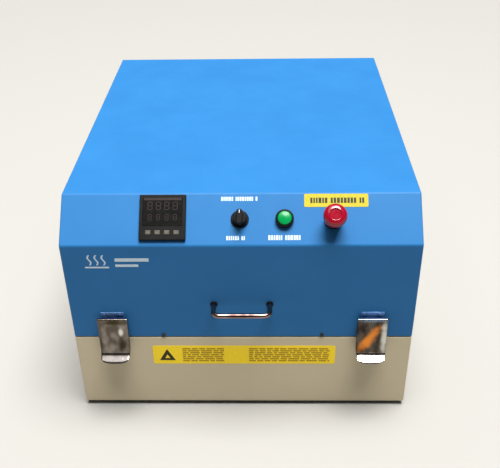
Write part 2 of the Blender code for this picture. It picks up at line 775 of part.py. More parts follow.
def make_rear_electrics():
    """The mains inlet and switch in the rear panel, and the heater relay on its heat sink."""
    inlet = add(
        "power_inlet",
        rear_box(INLET_X - 0.025, INLET_X + 0.025, GAP, 0.0040, INLET_Z - 0.014, INLET_Z + 0.014),
        "black_plastic",
    )
    join(
        inlet,
        [
            rear_box(
                INLET_X - 0.0140, INLET_X + 0.0140, -0.024, 0.002,
                INLET_Z - 0.0105, INLET_Z + 0.0105,
            )
        ],
    )
    cut(
        inlet,
        [
            rear_box(
                INLET_X - 0.0122, INLET_X + 0.0122, -0.015, 0.010,
                INLET_Z - 0.0082, INLET_Z + 0.0082,
            )
        ],
    )
    housing = add(
        "main_switch_housing",
        rear_box(
            SWITCH_X - 0.0095, SWITCH_X + 0.0095, GAP, 0.0020, INLET_Z - 0.0125, INLET_Z + 0.0125
        ),
        "black_plastic",
    )
    join(
        housing,
        [
            rear_box(
                SWITCH_X - 0.0066, SWITCH_X + 0.0066, -0.020, 0.001,
                INLET_Z - 0.0096, INLET_Z + 0.0096,
            )
        ],
    )
    cut(
        housing,
        [
            rear_box(
                SWITCH_X - 0.0056, SWITCH_X + 0.0056, -0.010, 0.010,
                INLET_Z - 0.0086, INLET_Z + 0.0086,
            )
        ],
    )
    tilt = math.radians(8)
    outline = [
        (-0.0040, -0.0070),
        (0.0035, -0.0078),
        (0.0024, 0.0),
        (0.0035, 0.0078),
        (-0.0040, 0.0070),
    ]
    turn = Matrix.Rotation(tilt, 2)
    points = [turn @ Vector(p) for p in outline]
    rocker = prism(
        [(BACK + p.x, INLET_Z + p.y) for p in points], SWITCH_X - 0.0052, SWITCH_X + 0.0052
    )
    add("main_switch_rocker", rocker, "black_plastic", origin=(SWITCH_X, BACK, INLET_Z))
    make_relay()


def make_relay():
    """A finned heat sink on the deck behind the chamber, with the heaters' relay on its flat side."""
    left, right, fins = -0.060, 0.040, 9
    z_low, z_high = LID_Z + SHEET + GAP, 0.230
    base_y, web_y, tip_y = BACK - 0.034, BACK - 0.029, BACK - 0.006
    pitch = (right - left) / (fins - 0.5)
    comb = [(left, base_y)]
    for i in range(fins):
        x = left + pitch * i
        comb += [(x, tip_y), (x + pitch / 2, tip_y)]
        if i < fins - 1:
            comb += [(x + pitch / 2, web_y), (x + pitch, web_y)]
    comb += [(right, base_y)]
    add("relay_heatsink", prism(comb, z_low, z_high, "Z"), "aluminium")
    relay = block((-0.033, base_y - GAP - 0.024, 0.168), (0.012, base_y - GAP, 0.226))
    add("solid_state_relay", relay, "black_plastic")


def main():
    for obj in list(bpy.data.objects):
        bpy.data.objects.remove(obj)
    make_base()
    make_lower_chamber()
    make_rack()
    shell = make_lid_case()
    make_upper_chamber()
    make_heaters()
    make_circulation_fan()
    make_cooling_fan()
    make_control_panel(shell)
    make_handle()
    for side, sign in (("left", -1), ("right", 1)):
        make_latch(side, sign * LATCH_X)
        make_hinge(side, sign * HINGE_X)
    make_rear_electrics()


main()
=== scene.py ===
"""Looks of the clamshell bench reflow oven: powder-coated case, control panel, latches, chamber."""

import json
import math

import bmesh
import bpy
from mathutils import Matrix, Vector


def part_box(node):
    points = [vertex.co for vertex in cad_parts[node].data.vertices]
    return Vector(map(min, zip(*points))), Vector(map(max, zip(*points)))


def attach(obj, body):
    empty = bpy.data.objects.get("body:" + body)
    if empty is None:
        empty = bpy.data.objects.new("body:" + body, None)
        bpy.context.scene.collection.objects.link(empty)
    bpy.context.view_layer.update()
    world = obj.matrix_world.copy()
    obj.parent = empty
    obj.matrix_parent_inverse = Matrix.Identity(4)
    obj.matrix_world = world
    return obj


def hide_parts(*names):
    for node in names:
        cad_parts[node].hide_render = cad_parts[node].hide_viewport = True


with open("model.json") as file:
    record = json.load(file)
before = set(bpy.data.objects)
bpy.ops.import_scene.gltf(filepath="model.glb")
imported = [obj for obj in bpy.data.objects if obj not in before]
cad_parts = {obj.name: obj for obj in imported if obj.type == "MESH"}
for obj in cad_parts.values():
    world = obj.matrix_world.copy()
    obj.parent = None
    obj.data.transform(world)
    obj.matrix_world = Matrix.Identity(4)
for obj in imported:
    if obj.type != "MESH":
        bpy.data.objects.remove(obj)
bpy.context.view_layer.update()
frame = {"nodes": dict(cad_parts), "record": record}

# The case, from the frame
CASE_LOW, CASE_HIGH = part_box("base_case")[0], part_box("lid_shell")[1]
FRONT, BACK = CASE_LOW.y, CASE_HIGH.y
HALF_W = CASE_HIGH.x
BASE_Z, TOP_Z = CASE_LOW.z, CASE_HIGH.z
SEAM_Z, LID_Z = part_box("base_case")[1].z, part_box("lid_shell")[0].z

# Sheet thickness, the radius of its bends, and the gap between neighbouring parts
SHEET, BEND, GAP = 0.0012, 0.0025, 0.0003


def rotation(degrees, axis):
    """A rotation about an axis, as a matrix."""
    return Matrix.Rotation(math.radians(degrees), 4, axis)


def upright(place, degrees):
    """The frame of an upright face: X along it, Y up it and Z out of it."""
    return Matrix.Translation(place) @ rotation(degrees, "Z") @ rotation(90, "X")


FRONT_FACE = upright((0, FRONT, 0), 0)
REAR_FACE = upright((0, BACK, 0), 180)
LEFT_FACE = upright((-HALF_W, 0, 0), -90)
RIGHT_FACE = upright((HALF_W, 0, 0), 90)

# The sloped control panel: X along it, Y up the slope and Z out of it
SLOPE_RUN = 0.059
PANEL = Matrix.Translation((0, FRONT, TOP_Z - SLOPE_RUN)) @ rotation(45, "X")

# The round controls' holes, and what sits behind them as a turned profile
BARREL_R, HOLE_R = 0.0109, 0.0112
BARREL = [(BARREL_R, GAP), (BARREL_R, -0.035), (0, -0.035)]

# Half the distance between a latch plate's ears and between its rivets, and a case screw's radius
EAR_X, RIVET_X, SCREW_R = 0.0155, 0.013, 0.0036


# --- Camera, light and floor ---

def make_camera():
    """A 54 mm lens, a little right of the middle, looking down at the front."""
    camera = bpy.data.cameras.new("camera")
    camera.lens = 54.1
    camera.sensor_width = 36.0
    obj = bpy.data.objects.new("camera", camera)
    pan, tilt, roll = 1.49, -32.84, 0.99
    right, back, above = 0.040, 1.285, 0.966
    place = Matrix.Translation((right, (FRONT + BACK) / 2 - back, BASE_Z + above))
    aim = rotation(pan, "Z") @ rotation(tilt, "X") @ rotation(roll, "Y") @ rotation(90, "X")
    obj.matrix_world = place @ aim
    bpy.context.scene.collection.objects.link(obj)
    bpy.context.scene.camera = obj


def make_lights():
    """A soft overhead sun, a broad light panel above the oven and a dim room with pale walls."""
    scene = bpy.context.scene
    scene.view_settings.view_transform = "Standard"
    sun = bpy.data.lights.new("overhead", "SUN")
    sun.energy = 7.4
    sun.angle = math.radians(36)
    sun_obj = bpy.data.objects.new("overhead", sun)
    sun_obj.rotation_euler = Vector((0.11, -0.06, 1.0)).to_track_quat("Z", "Y").to_euler()
    scene.collection.objects.link(sun_obj)
    panel = bpy.data.lights.new("light_panel", "AREA")
    panel.shape = "SQUARE"
    panel.size = 2.4
    panel.energy = 42
    panel_obj = bpy.data.objects.new("light_panel", panel)
    panel_obj.location = (0, -0.05, 2.6)
    scene.collection.objects.link(panel_obj)
    world = bpy.data.worlds.new("room")
    world.use_nodes = True
    tree = world.node_tree
    background = tree.nodes["Background"]
    background.inputs["Color"].default_value = (1.0, 0.98, 0.95, 1.0)
    seen = add_node(tree, "ShaderNodeLightPath").outputs["Is Camera Ray"]
    as_light, as_seen = 0.13, 0.84
    strength = ranged(tree, seen, 0.0, 1.0, as_light, as_seen)
    tree.links.new(strength, background.inputs["Strength"])
    scene.world = world


def make_floor():
    """A plain sheet of pale paper, wide enough to reach the horizon."""
    bm = bmesh.new()
    bmesh.ops.create_grid(bm, x_segments=1, y_segments=1, size=40.0)
    mesh = bpy.data.meshes.new("floor")
    bm.to_mesh(mesh)
    bm.free()
    floor = bpy.data.objects.new("floor", mesh)
    floor_paint, _, _ = surface("floor_paper", "96948F", 0.9)
    mesh.materials.append(floor_paint)
    bpy.context.scene.collection.objects.link(floor)


# --- Materials ---

def linear(hex_colour):
    """Linear RGBA of an sRGB hex colour."""
    channels = [int(hex_colour[i : i + 2], 16) / 255 for i in (0, 2, 4)]
    return [c / 12.92 if c <= 0.04045 else ((c + 0.055) / 1.055) ** 2.4 for c in channels] + [1.0]


def add_node(tree, kind, settings=None, inputs=None):
    """A node with its settings, and its inputs set to values or linked to sockets."""
    node = tree.nodes.new(kind)
    for key, value in (settings or {}).items():
        setattr(node, key, value)
    for key, value in (inputs or {}).items():
        if isinstance(value, bpy.types.NodeSocket):
            tree.links.new(value, node.inputs[key])
        else:
            node.inputs[key].default_value = value
    return node


def surface(name, colour, roughness, sockets=None):
    """A material with its shader's own values; gives (material, node tree, shader)."""
    material = bpy.data.materials.new(name)
    material.use_nodes = True
    tree = material.node_tree
    shader = tree.nodes["Principled BSDF"]
    shader.inputs["Base Color"].default_value = linear(colour)
    shader.inputs["Roughness"].default_value = roughness
    for key, value in (sockets or {}).items():
        shader.inputs[key].default_value = value
    return material, tree, shader


def noise(tree, size_mm, stretch=(1, 1, 1), detail=2.0):
    """Noise whose features measure about size_mm, drawn out by the stretch along each axis."""
    coords = add_node(tree, "ShaderNodeTexCoord").outputs["Object"]
    scale = [1 / s for s in stretch]
    mapping = add_node(tree, "ShaderNodeMapping", inputs={"Vector": coords, "Scale": scale})
    sizes = {"Vector": mapping.outputs["Vector"], "Scale": 1000 / size_mm, "Detail": detail}
    return add_node(tree, "ShaderNodeTexNoise", inputs=sizes).outputs["Fac"]


def ranged(tree, value, from_min, from_max, to_min=0.0, to_max=1.0, steps="LINEAR"):
    """A number moved from one range to another and kept within it."""
    ranges = {
        "Value": value,
        "From Min": from_min,
        "From Max": from_max,
        "To Min": to_min,
        "To Max": to_max,
    }
    return add_node(tree, "ShaderNodeMapRange", {"interpolation_type": steps}, ranges).outputs["Result"]


def vary(tree, shader, socket, value, low, high):
    """Drives a shader's number between low and high by a pattern."""
    tree.links.new(ranged(tree, value, 0.3, 0.7, low, high), shader.inputs[socket])


def blend(tree, value, a, b, low=0.35, high=0.65):
    """The colour between two colours, each a hex colour or another blend, chosen by a pattern."""
    mix = add_node(tree, "ShaderNodeMix", {"data_type": "RGBA"})
    tree.links.new(ranged(tree, value, low, high), mix.inputs["Factor"])
    for target, colour in zip([s for s in mix.inputs if s.type == "RGBA"], (a, b)):
        if isinstance(colour, str):
            target.default_value = linear(colour)
        else:
            tree.links.new(colour, target)
    return next(s for s in mix.outputs if s.type == "RGBA")


def tint(tree, shader, value, a, b):
    """Blends the base colour between two colours by a pattern."""
    tree.links.new(blend(tree, value, a, b), shader.inputs["Base Color"])


def relief(tree, shader, value, depth_mm, strength=1.0):
    """Surface relief of about depth_mm from a pattern."""
    sizes = {"Height": value, "Distance": depth_mm / 1000, "Strength": strength}
    bump = add_node(tree, "ShaderNodeBump", inputs=sizes)
    tree.links.new(bump.outputs["Normal"], shader.inputs["Normal"])


def powder_coat(name, colour, light, roughness):
    """Oven-cured polyester powder on steel: satin, with the faint orange peel that melting leaves.
    The peel is 1 mm on the real sheet and is drawn at 2.5 mm so that it shows."""
    material, tree, shader = surface(name, colour, roughness, {"Specular IOR Level": 0.15})
    tint(tree, shader, noise(tree, 90, detail=3.0), colour, light)
    vary(tree, shader, "Roughness", noise(tree, 35), roughness - 0.05, roughness + 0.06)
    relief(tree, shader, noise(tree, 2.5, detail=1.0), 0.02, 0.5)
    return material


def brushed_metal(name, colour, dark, roughness, along):
    """Sheet finished with a 180 grit belt: fine scratches all along one axis, which spread the
    highlights across it. The scratches are 0.1 mm apart and are drawn at 0.8 mm."""
    material, tree, shader = surface(name, colour, roughness, {"Metallic": 1.0})
    stretch = [60 if axis == along else 1 for axis in "XYZ"]
    scratches = noise(tree, 0.8, stretch, 2.0)
    tint(tree, shader, scratches, dark, colour)
    vary(tree, shader, "Roughness", noise(tree, 3, stretch), roughness - 0.04, roughness + 0.05)
    relief(tree, shader, scratches, 0.004, 0.3)
    return material


def plated(name, colour, light, roughness, wave_mm, wave_depth):
    """Plated stamped steel: a mirror over the press's long shallow waves, dulled in spots."""
    material, tree, shader = surface(name, colour, roughness, {"Metallic": 1.0})
    tint(tree, shader, noise(tree, 22, detail=1.0), colour, light)
    vary(tree, shader, "Roughness", noise(tree, 6, detail=4.0), roughness * 0.6, roughness * 1.6)
    relief(tree, shader, noise(tree, wave_mm, detail=1.0), wave_depth, 0.5)
    return material


def chrome_with_painted_room_reflections():
    """Chrome plated steel, polished, with painted reflections: dark, pale and warm patches are painted
    into its grey, standing for what a working room would show in it, since the studio is plain."""
    material, tree, shader = surface("chrome_plated_steel_painted_reflections", "808080", 0.08, {"Metallic": 1.0})
    # painted reflection: dark, pale and warm patches in the base colour stand for a room in the mirror
    patches = blend(tree, noise(tree, 17, (1, 1, 1.6), 1.0), "3A3430", "8E8880")
    warm = noise(tree, 30, (1.4, 1, 1), 1.0)
    room = blend(tree, warm, patches, "A8703E", 0.50, 0.72)
    tree.links.new(room, shader.inputs["Base Color"])
    vary(tree, shader, "Roughness", noise(tree, 6, detail=4.0), 0.05, 0.13)
    relief(tree, shader, noise(tree, 18, detail=1.0), 0.30, 0.5)
    return material


def patch(tree, place, turn, half_x, half_z):
    """A soft oval in the XZ plane, turned by degrees: 1 in its middle, 0 outside its half sizes."""
    layout = {
        "Vector": add_node(tree, "ShaderNodeTexCoord").outputs["Object"],
        "Location": (place[0], 0, place[1]),
        "Rotation": (0, math.radians(turn), 0),
        "Scale": (half_x, 1000, half_z),
    }
    mapping = add_node(tree, "ShaderNodeMapping", {"vector_type": "TEXTURE"}, layout)
    vector = {0: mapping.outputs["Vector"]}
    off = add_node(tree, "ShaderNodeVectorMath", {"operation": "LENGTH"}, vector).outputs["Value"]
    edge = {0: noise(tree, 10, detail=1.0), 1: 0.8, 2: off}
    ragged = add_node(tree, "ShaderNodeMath", {"operation": "MULTIPLY_ADD"}, edge).outputs["Value"]
    return ranged(tree, ragged, 0.6, 1.75, 1.0, 0.0, "SMOOTHSTEP")


def chrome_with_painted_reflections(name, ground, patches, centre, roughness):
    """Chrome plated steel, polished, with painted reflections: the dark, pale and warm patches that a bent
    mirror would draw from what stands round the oven are painted into its base colour, as the studio is
    plain."""
    material, tree, shader = surface(name, "808080", roughness, {"Metallic": 1.0})
    # painted reflection: the base colour wanders between two tones, then each patch is painted over it
    room = blend(tree, noise(tree, 12, (1, 1, 1.6), 1.0), *ground)
    for colour, x, z, turn, half_x, half_z in patches:
        place = (centre[0] + x / 1000, centre[1] + z / 1000)
        oval = patch(tree, place, turn, half_x / 1000, half_z / 1000)
        room = blend(tree, oval, room, colour, 0.0, 1.0)
    tree.links.new(room, shader.inputs["Base Color"])
    vary(tree, shader, "Roughness", noise(tree, 6, detail=4.0), roughness * 0.6, roughness * 1.5)
    relief(tree, shader, noise(tree, 18, detail=1.0), 0.30, 0.5)
    return material


def box_middle(node):
    """The middle of a node's box, as (x, z)."""
    low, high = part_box(node)
    return (low.x + high.x) / 2, (low.z + high.z) / 2


def moulded(name, colour, light, roughness, grain_mm, gloss=0.3):
    """Injection-moulded plastic or rubber with the spark-eroded grain of its mould."""
    material, tree, shader = surface(name, colour, roughness, {"Specular IOR Level": gloss})
    tint(tree, shader, noise(tree, 12), colour, light)
    vary(tree, shader, "Roughness", noise(tree, 8), roughness - 0.06, roughness + 0.06)
    relief(tree, shader, noise(tree, grain_mm, detail=2.0), 0.03, 0.5)
    return material


def printed(name, colour, light):
    """Screen ink or vinyl foil: flat, matt, with the slight mottle of a printed film."""
    material, tree, shader = surface(name, colour, 0.5, {"Specular IOR Level": 0.2})
    tint(tree, shader, noise(tree, 4, detail=3.0), colour, light)
    relief(tree, shader, noise(tree, 1.5), 0.01, 0.3)
    return material


def fibrous(name, colour, dark, strand_mm):
    """Woven or felted glass and ceramic fibre: no gloss, strands catch light and shade."""
    material, tree, shader = surface(name, colour, 0.95, {"IOR": 1.45})
    strands = noise(tree, strand_mm, (4, 1, 1), 4.0)
    tint(tree, shader, strands, dark, colour)
    relief(tree, shader, strands, 0.4, 0.8)
    return material


def quartz_glass():
    """Fused silica tube: clear, with the faint draw lines along it."""
    clear = {"IOR": 1.46, "Transmission Weight": 1.0}
    material, tree, shader = surface("fused_quartz_drawn", "F4F6F6", 0.04, clear)
    relief(tree, shader, noise(tree, 1.5, (40, 1, 1)), 0.01, 0.3)
    return material


def acrylic(name, colour, light, roughness, gloss=0.5):
    """Cast or moulded acrylic and polished ABS: deep colour under a smooth bright surface."""
    material, tree, shader = surface(name, colour, roughness, {"Specular IOR Level": gloss})
    tint(tree, shader, noise(tree, 9), colour, light)
    vary(tree, shader, "Roughness", noise(tree, 5, detail=3.0), roughness * 0.7, roughness * 1.4)
    return material


# Painted reflections on the chrome levers and the handle bar, patches that a mirror there would show:
# colour, mm right of the middle, mm above it, degrees, half width and height
LEFT_LEVER_PAINTED_REFLECTIONS = [
    ("3C322A", 13, -12, 0, 8, 18),
    ("DAD6D2", 13, 14, 0, 4, 9),
    ("3E3622", 2, 33, 0, 22, 6),
    ("4A4038", -23, -8, 0, 5, 28),
    ("8E8884", 0, -38, 0, 60, 10),
]
RIGHT_LEVER_PAINTED_REFLECTIONS = [
    ("DE8638", -4, 0, 32, 9, 30),
    ("C8C6BC", 20, 3, 0, 6, 36),
    ("6E7C8C", 0, 37, 0, 28, 4),
    ("E0DAD0", 0, -38, 0, 60, 10),
]
# A dark band painted along the bar's upper half: painted reflection, which also dims the overhead light's
# highlight there
HANDLE_BAR_PAINTED_REFLECTION = [("3E2E2C", 0, 2.2, 0, 46, 3.0)]


def make_materials():
    return {
        "blue_paint": powder_coat("powder_coated_steel_blue", "226196", "246499", 0.50),
        "beige_paint": powder_coat("powder_coated_steel_beige", "BCB095", "BFB398", 0.55),
        "stainless": brushed_metal("stainless_steel_belt_brushed", "BCBAB4", "B4B2AC", 0.32, "X"),
        "zinc_steel": plated("zinc_plated_steel_pressed", "A2A4A6", "AAA89E", 0.32, 7, 0.05),
        "chrome": chrome_with_painted_room_reflections(),
        # painted reflections: room tones and patches in the levers' base colour
        "chrome_left": chrome_with_painted_reflections(
            "chrome_lever_left_painted_reflections", ("5C534A", "867E76"), LEFT_LEVER_PAINTED_REFLECTIONS, box_middle("latch_lever_left"), 0.09
        ),
        "chrome_right": chrome_with_painted_reflections(
            "chrome_lever_right_painted_reflections", ("2E2925", "5A5148"), RIGHT_LEVER_PAINTED_REFLECTIONS, box_middle("latch_lever_right"), 0.09
        ),
        # painted reflection: brown tones stand for the floor and room mirrored in the bar
        "bar_chrome": chrome_with_painted_reflections(
            "chrome_bar_painted_reflection", ("96766C", "A48A80"), HANDLE_BAR_PAINTED_REFLECTION, box_middle("handle"), 0.10
        ),
        # Keeper plating: a zinc plate whose blue tint is a painted reflection, the dark blue a mirror
        # above the latch would show
        "blue_zinc": plated("zinc_plate_painted_blue_reflection", "5A7EB0", "6488B8", 0.45, 9, 0.05),
        "ceramic_fibre": fibrous("ceramic_fibre_felted", "ECE8DC", "CFC9B8", 1.6),
        "glass_rope": fibrous("glass_fibre_braided", "DAD4C2", "A69F8A", 1.2),
        "quartz": quartz_glass(),
        "rubber": moulded("neoprene_rubber_moulded", "191919", "242424", 0.75, 1.0),
        "black_plastic": moulded("abs_moulded_black", "0C0C0C", "111111", 0.48, 0.8, 0.10),
        "grey_plastic": moulded("silicone_rubber_moulded_grey", "38362F", "403E36", 0.55, 0.8),
        "dark_window": acrylic("acrylic_cast_smoked", "121212", "171716", 0.20, 0.06),
        "green_lens": acrylic("acrylic_moulded_green", "007A3C", "028242", 0.20, 0.25),
        "red_plastic": acrylic("abs_moulded_red_polished", "80001A", "88041E", 0.14),
        "aluminium": brushed_metal("aluminium_extruded_mill", "C8CACC", "B0B2B4", 0.34, "Z"),
        "yellow_foil": printed("vinyl_foil_yellow", "F0CE20", "F4D42C"),
        "dull_yellow_foil": printed("polyester_foil_yellow", "A4981C", "ABA024"),
        "white_ink": printed("screen_ink_white", "B4C4D0", "BECCD6"),
        # black ink for prints, and painted shade in the louvre slots
        "dark_ink": printed("black_ink_and_painted_shade", "2A2612", "343018"),
        "olive_ink": printed("screen_ink_olive", "9E7E18", "A88820"),
        "grey_ink": printed("screen_ink_grey", "56524A", "605C50"),
        "led_dark": printed("led_filter_unlit", "1F1311", "241613"),
        "white_ceramic": moulded("steatite_ceramic_fired", "D8D4CA", "E2DFD8", 0.35, 1.2, 0.5),
        "hot_wire": brushed_metal("nichrome_wire_drawn", "8A7A6C", "6A5C50", 0.40, "X"),
        "brass": plated("brass_pin_nickel_plated", "B8AE8A", "C0B48C", 0.22, 5, 0.02),
    }


# --- Shapes ---

def block(low, high, bevel=0.0, segments=2):
    """A box between two corners, with its edges rounded."""
    bm = bmesh.new()
    bmesh.ops.create_cube(bm, size=1.0)
    bmesh.ops.scale(bm, vec=[b - a for a, b in zip(low, high)], verts=bm.verts)
    bmesh.ops.translate(bm, vec=[(a + b) / 2 for a, b in zip(low, high)], verts=bm.verts)
    if bevel:
        soften(bm, bevel, segments)
    return bm


def soften(bm, width, segments=2, least_angle=20, keep=lambda edge: True):
    """Rounds the edges that are sharper than an angle."""
    sharp = [
        e
        for e in bm.edges
        if len(e.link_faces) == 2
        and e.calc_face_angle() > math.radians(least_angle)
        and keep(e)
    ]
    bmesh.ops.bevel(
        bm, geom=sharp, offset=width, segments=segments, profile=0.5, affect="EDGES", clamp_overlap=True
    )


def prism(outline, start, end):
    """An outline of (x, y) points, extruded along Z."""
    bm = bmesh.new()
    face = bm.faces.new([bm.verts.new((x, y, start)) for x, y in outline])
    raised = bmesh.ops.extrude_face_region(bm, geom=[face])["geom"]
    moved = [v for v in raised if isinstance(v, bmesh.types.BMVert)]
    bmesh.ops.translate(bm, vec=(0, 0, end - start), verts=moved)
    bmesh.ops.recalc_face_normals(bm, faces=bm.faces)
    return bm


def turned(profile, segments=64):
    """A profile of (radius, height) points spun about Z."""
    bm = bmesh.new()
    verts = [bm.verts.new((r, 0, h)) for r, h in profile]
    edges = [bm.edges.new(pair) for pair in zip(verts, verts[1:])]
    if profile[0][0] > 0 or profile[-1][0] > 0:
        edges.append(bm.edges.new((verts[-1], verts[0])))
    bmesh.ops.spin(
        bm, geom=verts + edges, cent=(0, 0, 0), axis=(0, 0, 1), angle=math.tau, steps=segments
    )
    bmesh.ops.remove_doubles(bm, verts=bm.verts, dist=1e-6)
    bmesh.ops.recalc_face_normals(bm, faces=bm.faces)
    return bm


def arc(centre, radius, start, end, steps=6):
    """Points on an arc between two angles in degrees."""
    angles = [math.radians(start + (end - start) * i / steps) for i in range(steps + 1)]
    return [(centre[0] + radius * math.cos(a), centre[1] + radius * math.sin(a)) for a in angles]


def rounded_outline(half_x, half_y, radius, centre=(0, 0)):
    """A rectangle with round corners, as an outline."""
    points = []
    for sx, sy, start in ((1, 1, 0), (-1, 1, 90), (-1, -1, 180), (1, -1, 270)):
        corner = (centre[0] + sx * (half_x - radius), centre[1] + sy * (half_y - radius))
        points += arc(corner, radius, start, start + 90, 4)
    return points


def tube(path, radius, sides=16, cyclic=False):
    """A round bar along a path, as a closed mesh."""
    curve = bpy.data.curves.new("bar", "CURVE")
    curve.dimensions = "3D"
    curve.bevel_depth = radius
    curve.bevel_resolution = sides // 2 - 2
    curve.use_fill_caps = not cyclic
    spline = curve.splines.new("POLY")
    spline.points.add(len(path) - 1)
    for point, place in zip(spline.points, path):
        point.co = (*place, 1.0)
    spline.use_cyclic_u = cyclic
    obj = bpy.data.objects.new("bar", curve)
    bpy.context.scene.collection.objects.link(obj)
    bm = settled(obj)
    bmesh.ops.remove_doubles(bm, verts=bm.verts, dist=1e-6)
    bmesh.ops.recalc_face_normals(bm, faces=bm.faces)
    return bm


def plain_mesh(obj):
    """The object's evaluated shape as a mesh of its own; the object is removed."""
    bpy.context.view_layer.update()
    graph = bpy.context.evaluated_depsgraph_get()
    mesh = bpy.data.meshes.new_from_object(obj.evaluated_get(graph), depsgraph=graph)
    bpy.data.objects.remove(obj)
    return mesh


def settled(obj):
    """The object's evaluated shape as a bmesh; the object is removed."""
    result = bmesh.new()
    result.from_mesh(plain_mesh(obj))
    return result


def mesh_object(name, bm):
    """A shape as an object of the scene."""
    mesh = bpy.data.meshes.new(name)
    bm.to_mesh(mesh)
    bm.free()
    obj = bpy.data.objects.new(name, mesh)
    bpy.context.scene.collection.objects.link(obj)
    return obj


def carve(bm, tools):
    """The shape with others cut from it."""
    obj = mesh_object("carved", bm)
    cutters = [mesh_object("cutter", tool) for tool in tools]
    for cutter in cutters:
        modifier = obj.modifiers.new("cut", "BOOLEAN")
        modifier.operation = "DIFFERENCE"
        modifier.object = cutter
    result = settled(obj)
    for cutter in cutters:
        bpy.data.objects.remove(cutter)
    return result


def merged(shapes):
    """Several shapes as one mesh, each still a body of its own."""
    result = bmesh.new()
    for bm in shapes:
        mesh = bpy.data.meshes.new("part")
        bm.to_mesh(mesh)
        bm.free()
        result.from_mesh(mesh)
        bpy.data.meshes.remove(mesh)
    return result


def moved(bm, matrix):
    bmesh.ops.transform(bm, matrix=matrix, verts=bm.verts)
    return bm


def shifted(bm, *offset):
    return moved(bm, Matrix.Translation(offset))


def piece(name, bm, finish, body, replaces=(), sharp=32):
    """A finished piece at the origin that rides on a body and takes its finish from a slot. Its
    normals are weighted by area, so that a flat face stays flat up to its rounded edges."""
    rough = mesh_object("rough", bm)
    rough.data.shade_smooth()
    rough.data.set_sharp_from_angle(angle=math.radians(sharp))
    weigh = rough.modifiers.new("weigh", "WEIGHTED_NORMAL")
    weigh.keep_sharp = True
    mesh = plain_mesh(rough)
    mesh.name = name
    mesh.materials.clear()
    mesh.materials.append(MATERIALS[finish])
    obj = bpy.data.objects.new(name, mesh)
    bpy.context.scene.collection.objects.link(obj)
    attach(obj, body)
    if replaces:
        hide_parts(*replaces)


# --- Geometry Nodes: what repeats ---

def socket_id(tree, name):
    """The identifier of a node group's named input."""
    return next(
        item.identifier
        for item in tree.interface.items_tree
        if item.item_type == "SOCKET" and item.in_out == "INPUT" and item.name == name
    )


def new_tree(name, inputs):
    """A Geometry Nodes tree with named inputs; gives (tree, its inputs, its output node)."""
    tree = bpy.data.node_groups.new(name, "GeometryNodeTree")
    tree.interface.new_socket("Geometry", in_out="INPUT", socket_type="NodeSocketGeometry")
    for label, kind in inputs:
        tree.interface.new_socket(label, in_out="INPUT", socket_type=kind)
    tree.interface.new_socket("Geometry", in_out="OUTPUT", socket_type="NodeSocketGeometry")
    return tree, add_node(tree, "NodeGroupInput").outputs, add_node(tree, "NodeGroupOutput")


def close_tree(tree, geometry, material, output):
    """Ends a tree in Realize Instances and Set Material."""
    real = add_node(tree, "GeometryNodeRealizeInstances", inputs={"Geometry": geometry})
    finished = add_node(
        tree,
        "GeometryNodeSetMaterial",
        inputs={"Geometry": real.outputs["Geometry"], "Material": material},
    )
    tree.links.new(finished.outputs["Geometry"], output.inputs["Geometry"])
    return tree


def own_value(tree, name):
    """A point's own vector, by its attribute's name."""
    kind = {"data_type": "FLOAT_VECTOR"}
    return add_node(tree, "GeometryNodeInputNamedAttribute", kind, {"Name": name}).outputs["Attribute"]


def swept(tree, curve, radius, sides):
    """A round wire along a curve, with closed ends."""
    sizes = {"Resolution": sides, "Radius": radius}
    ring = add_node(tree, "GeometryNodeCurvePrimitiveCircle", inputs=sizes).outputs["Curve"]
    ends = {"Curve": curve, "Profile Curve": ring, "Fill Caps": True}
    return add_node(tree, "GeometryNodeCurveToMesh", inputs=ends).outputs["Mesh"]


def copies_tree():
    """Copies a shape to every point, turned and sized by the point's own turn and size."""
    tree, given, output = new_tree(
        "copies_on_points",
        [("Shape", "NodeSocketObject"), ("Size", "NodeSocketFloat"), ("Finish", "NodeSocketMaterial")],
    )
    shape = add_node(tree, "GeometryNodeObjectInfo", inputs={"Object": given["Shape"]})
    size = {0: own_value(tree, "size"), "Scale": given["Size"]}
    scaled = add_node(tree, "ShaderNodeVectorMath", {"operation": "SCALE"}, size)
    placing = {
        "Points": given["Geometry"],
        "Instance": shape.outputs["Geometry"],
        "Rotation": own_value(tree, "turn"),
        "Scale": scaled.outputs["Vector"],
    }
    placed = add_node(tree, "GeometryNodeInstanceOnPoints", inputs=placing)
    return close_tree(tree, placed.outputs["Instances"], given["Finish"], output)


def wires_tree():
    """A row of straight round wires: Count of them, Pitch apart along Y, each Length long in X."""
    tree, given, output = new_tree(
        "wire_row",
        [
            ("Count", "NodeSocketInt"),
            ("Pitch", "NodeSocketFloat"),
            ("Length", "NodeSocketFloat"),
            ("Radius", "NodeSocketFloat"),
            ("Finish", "NodeSocketMaterial"),
        ],
    )
    step = add_node(tree, "ShaderNodeCombineXYZ", inputs={"Y": given["Pitch"]})
    spacing = {"Count": given["Count"], "Offset": step.outputs["Vector"]}
    row = add_node(tree, "GeometryNodeMeshLine", inputs=spacing)
    ends = []
    for share in (-0.5, 0.5):
        reach = add_node(tree, "ShaderNodeMath", {"operation": "MULTIPLY"}, {0: given["Length"], 1: share})
        end = add_node(tree, "ShaderNodeCombineXYZ", inputs={"X": reach.outputs["Value"]})
        ends.append(end.outputs["Vector"])
    line = add_node(tree, "GeometryNodeCurvePrimitiveLine", inputs={"Start": ends[0], "End": ends[1]})
    rod = swept(tree, line.outputs["Curve"], given["Radius"], 12)
    placing = {"Points": row.outputs["Mesh"], "Instance": rod}
    placed = add_node(tree, "GeometryNodeInstanceOnPoints", inputs=placing)
    return close_tree(tree, placed.outputs["Instances"], given["Finish"], output)


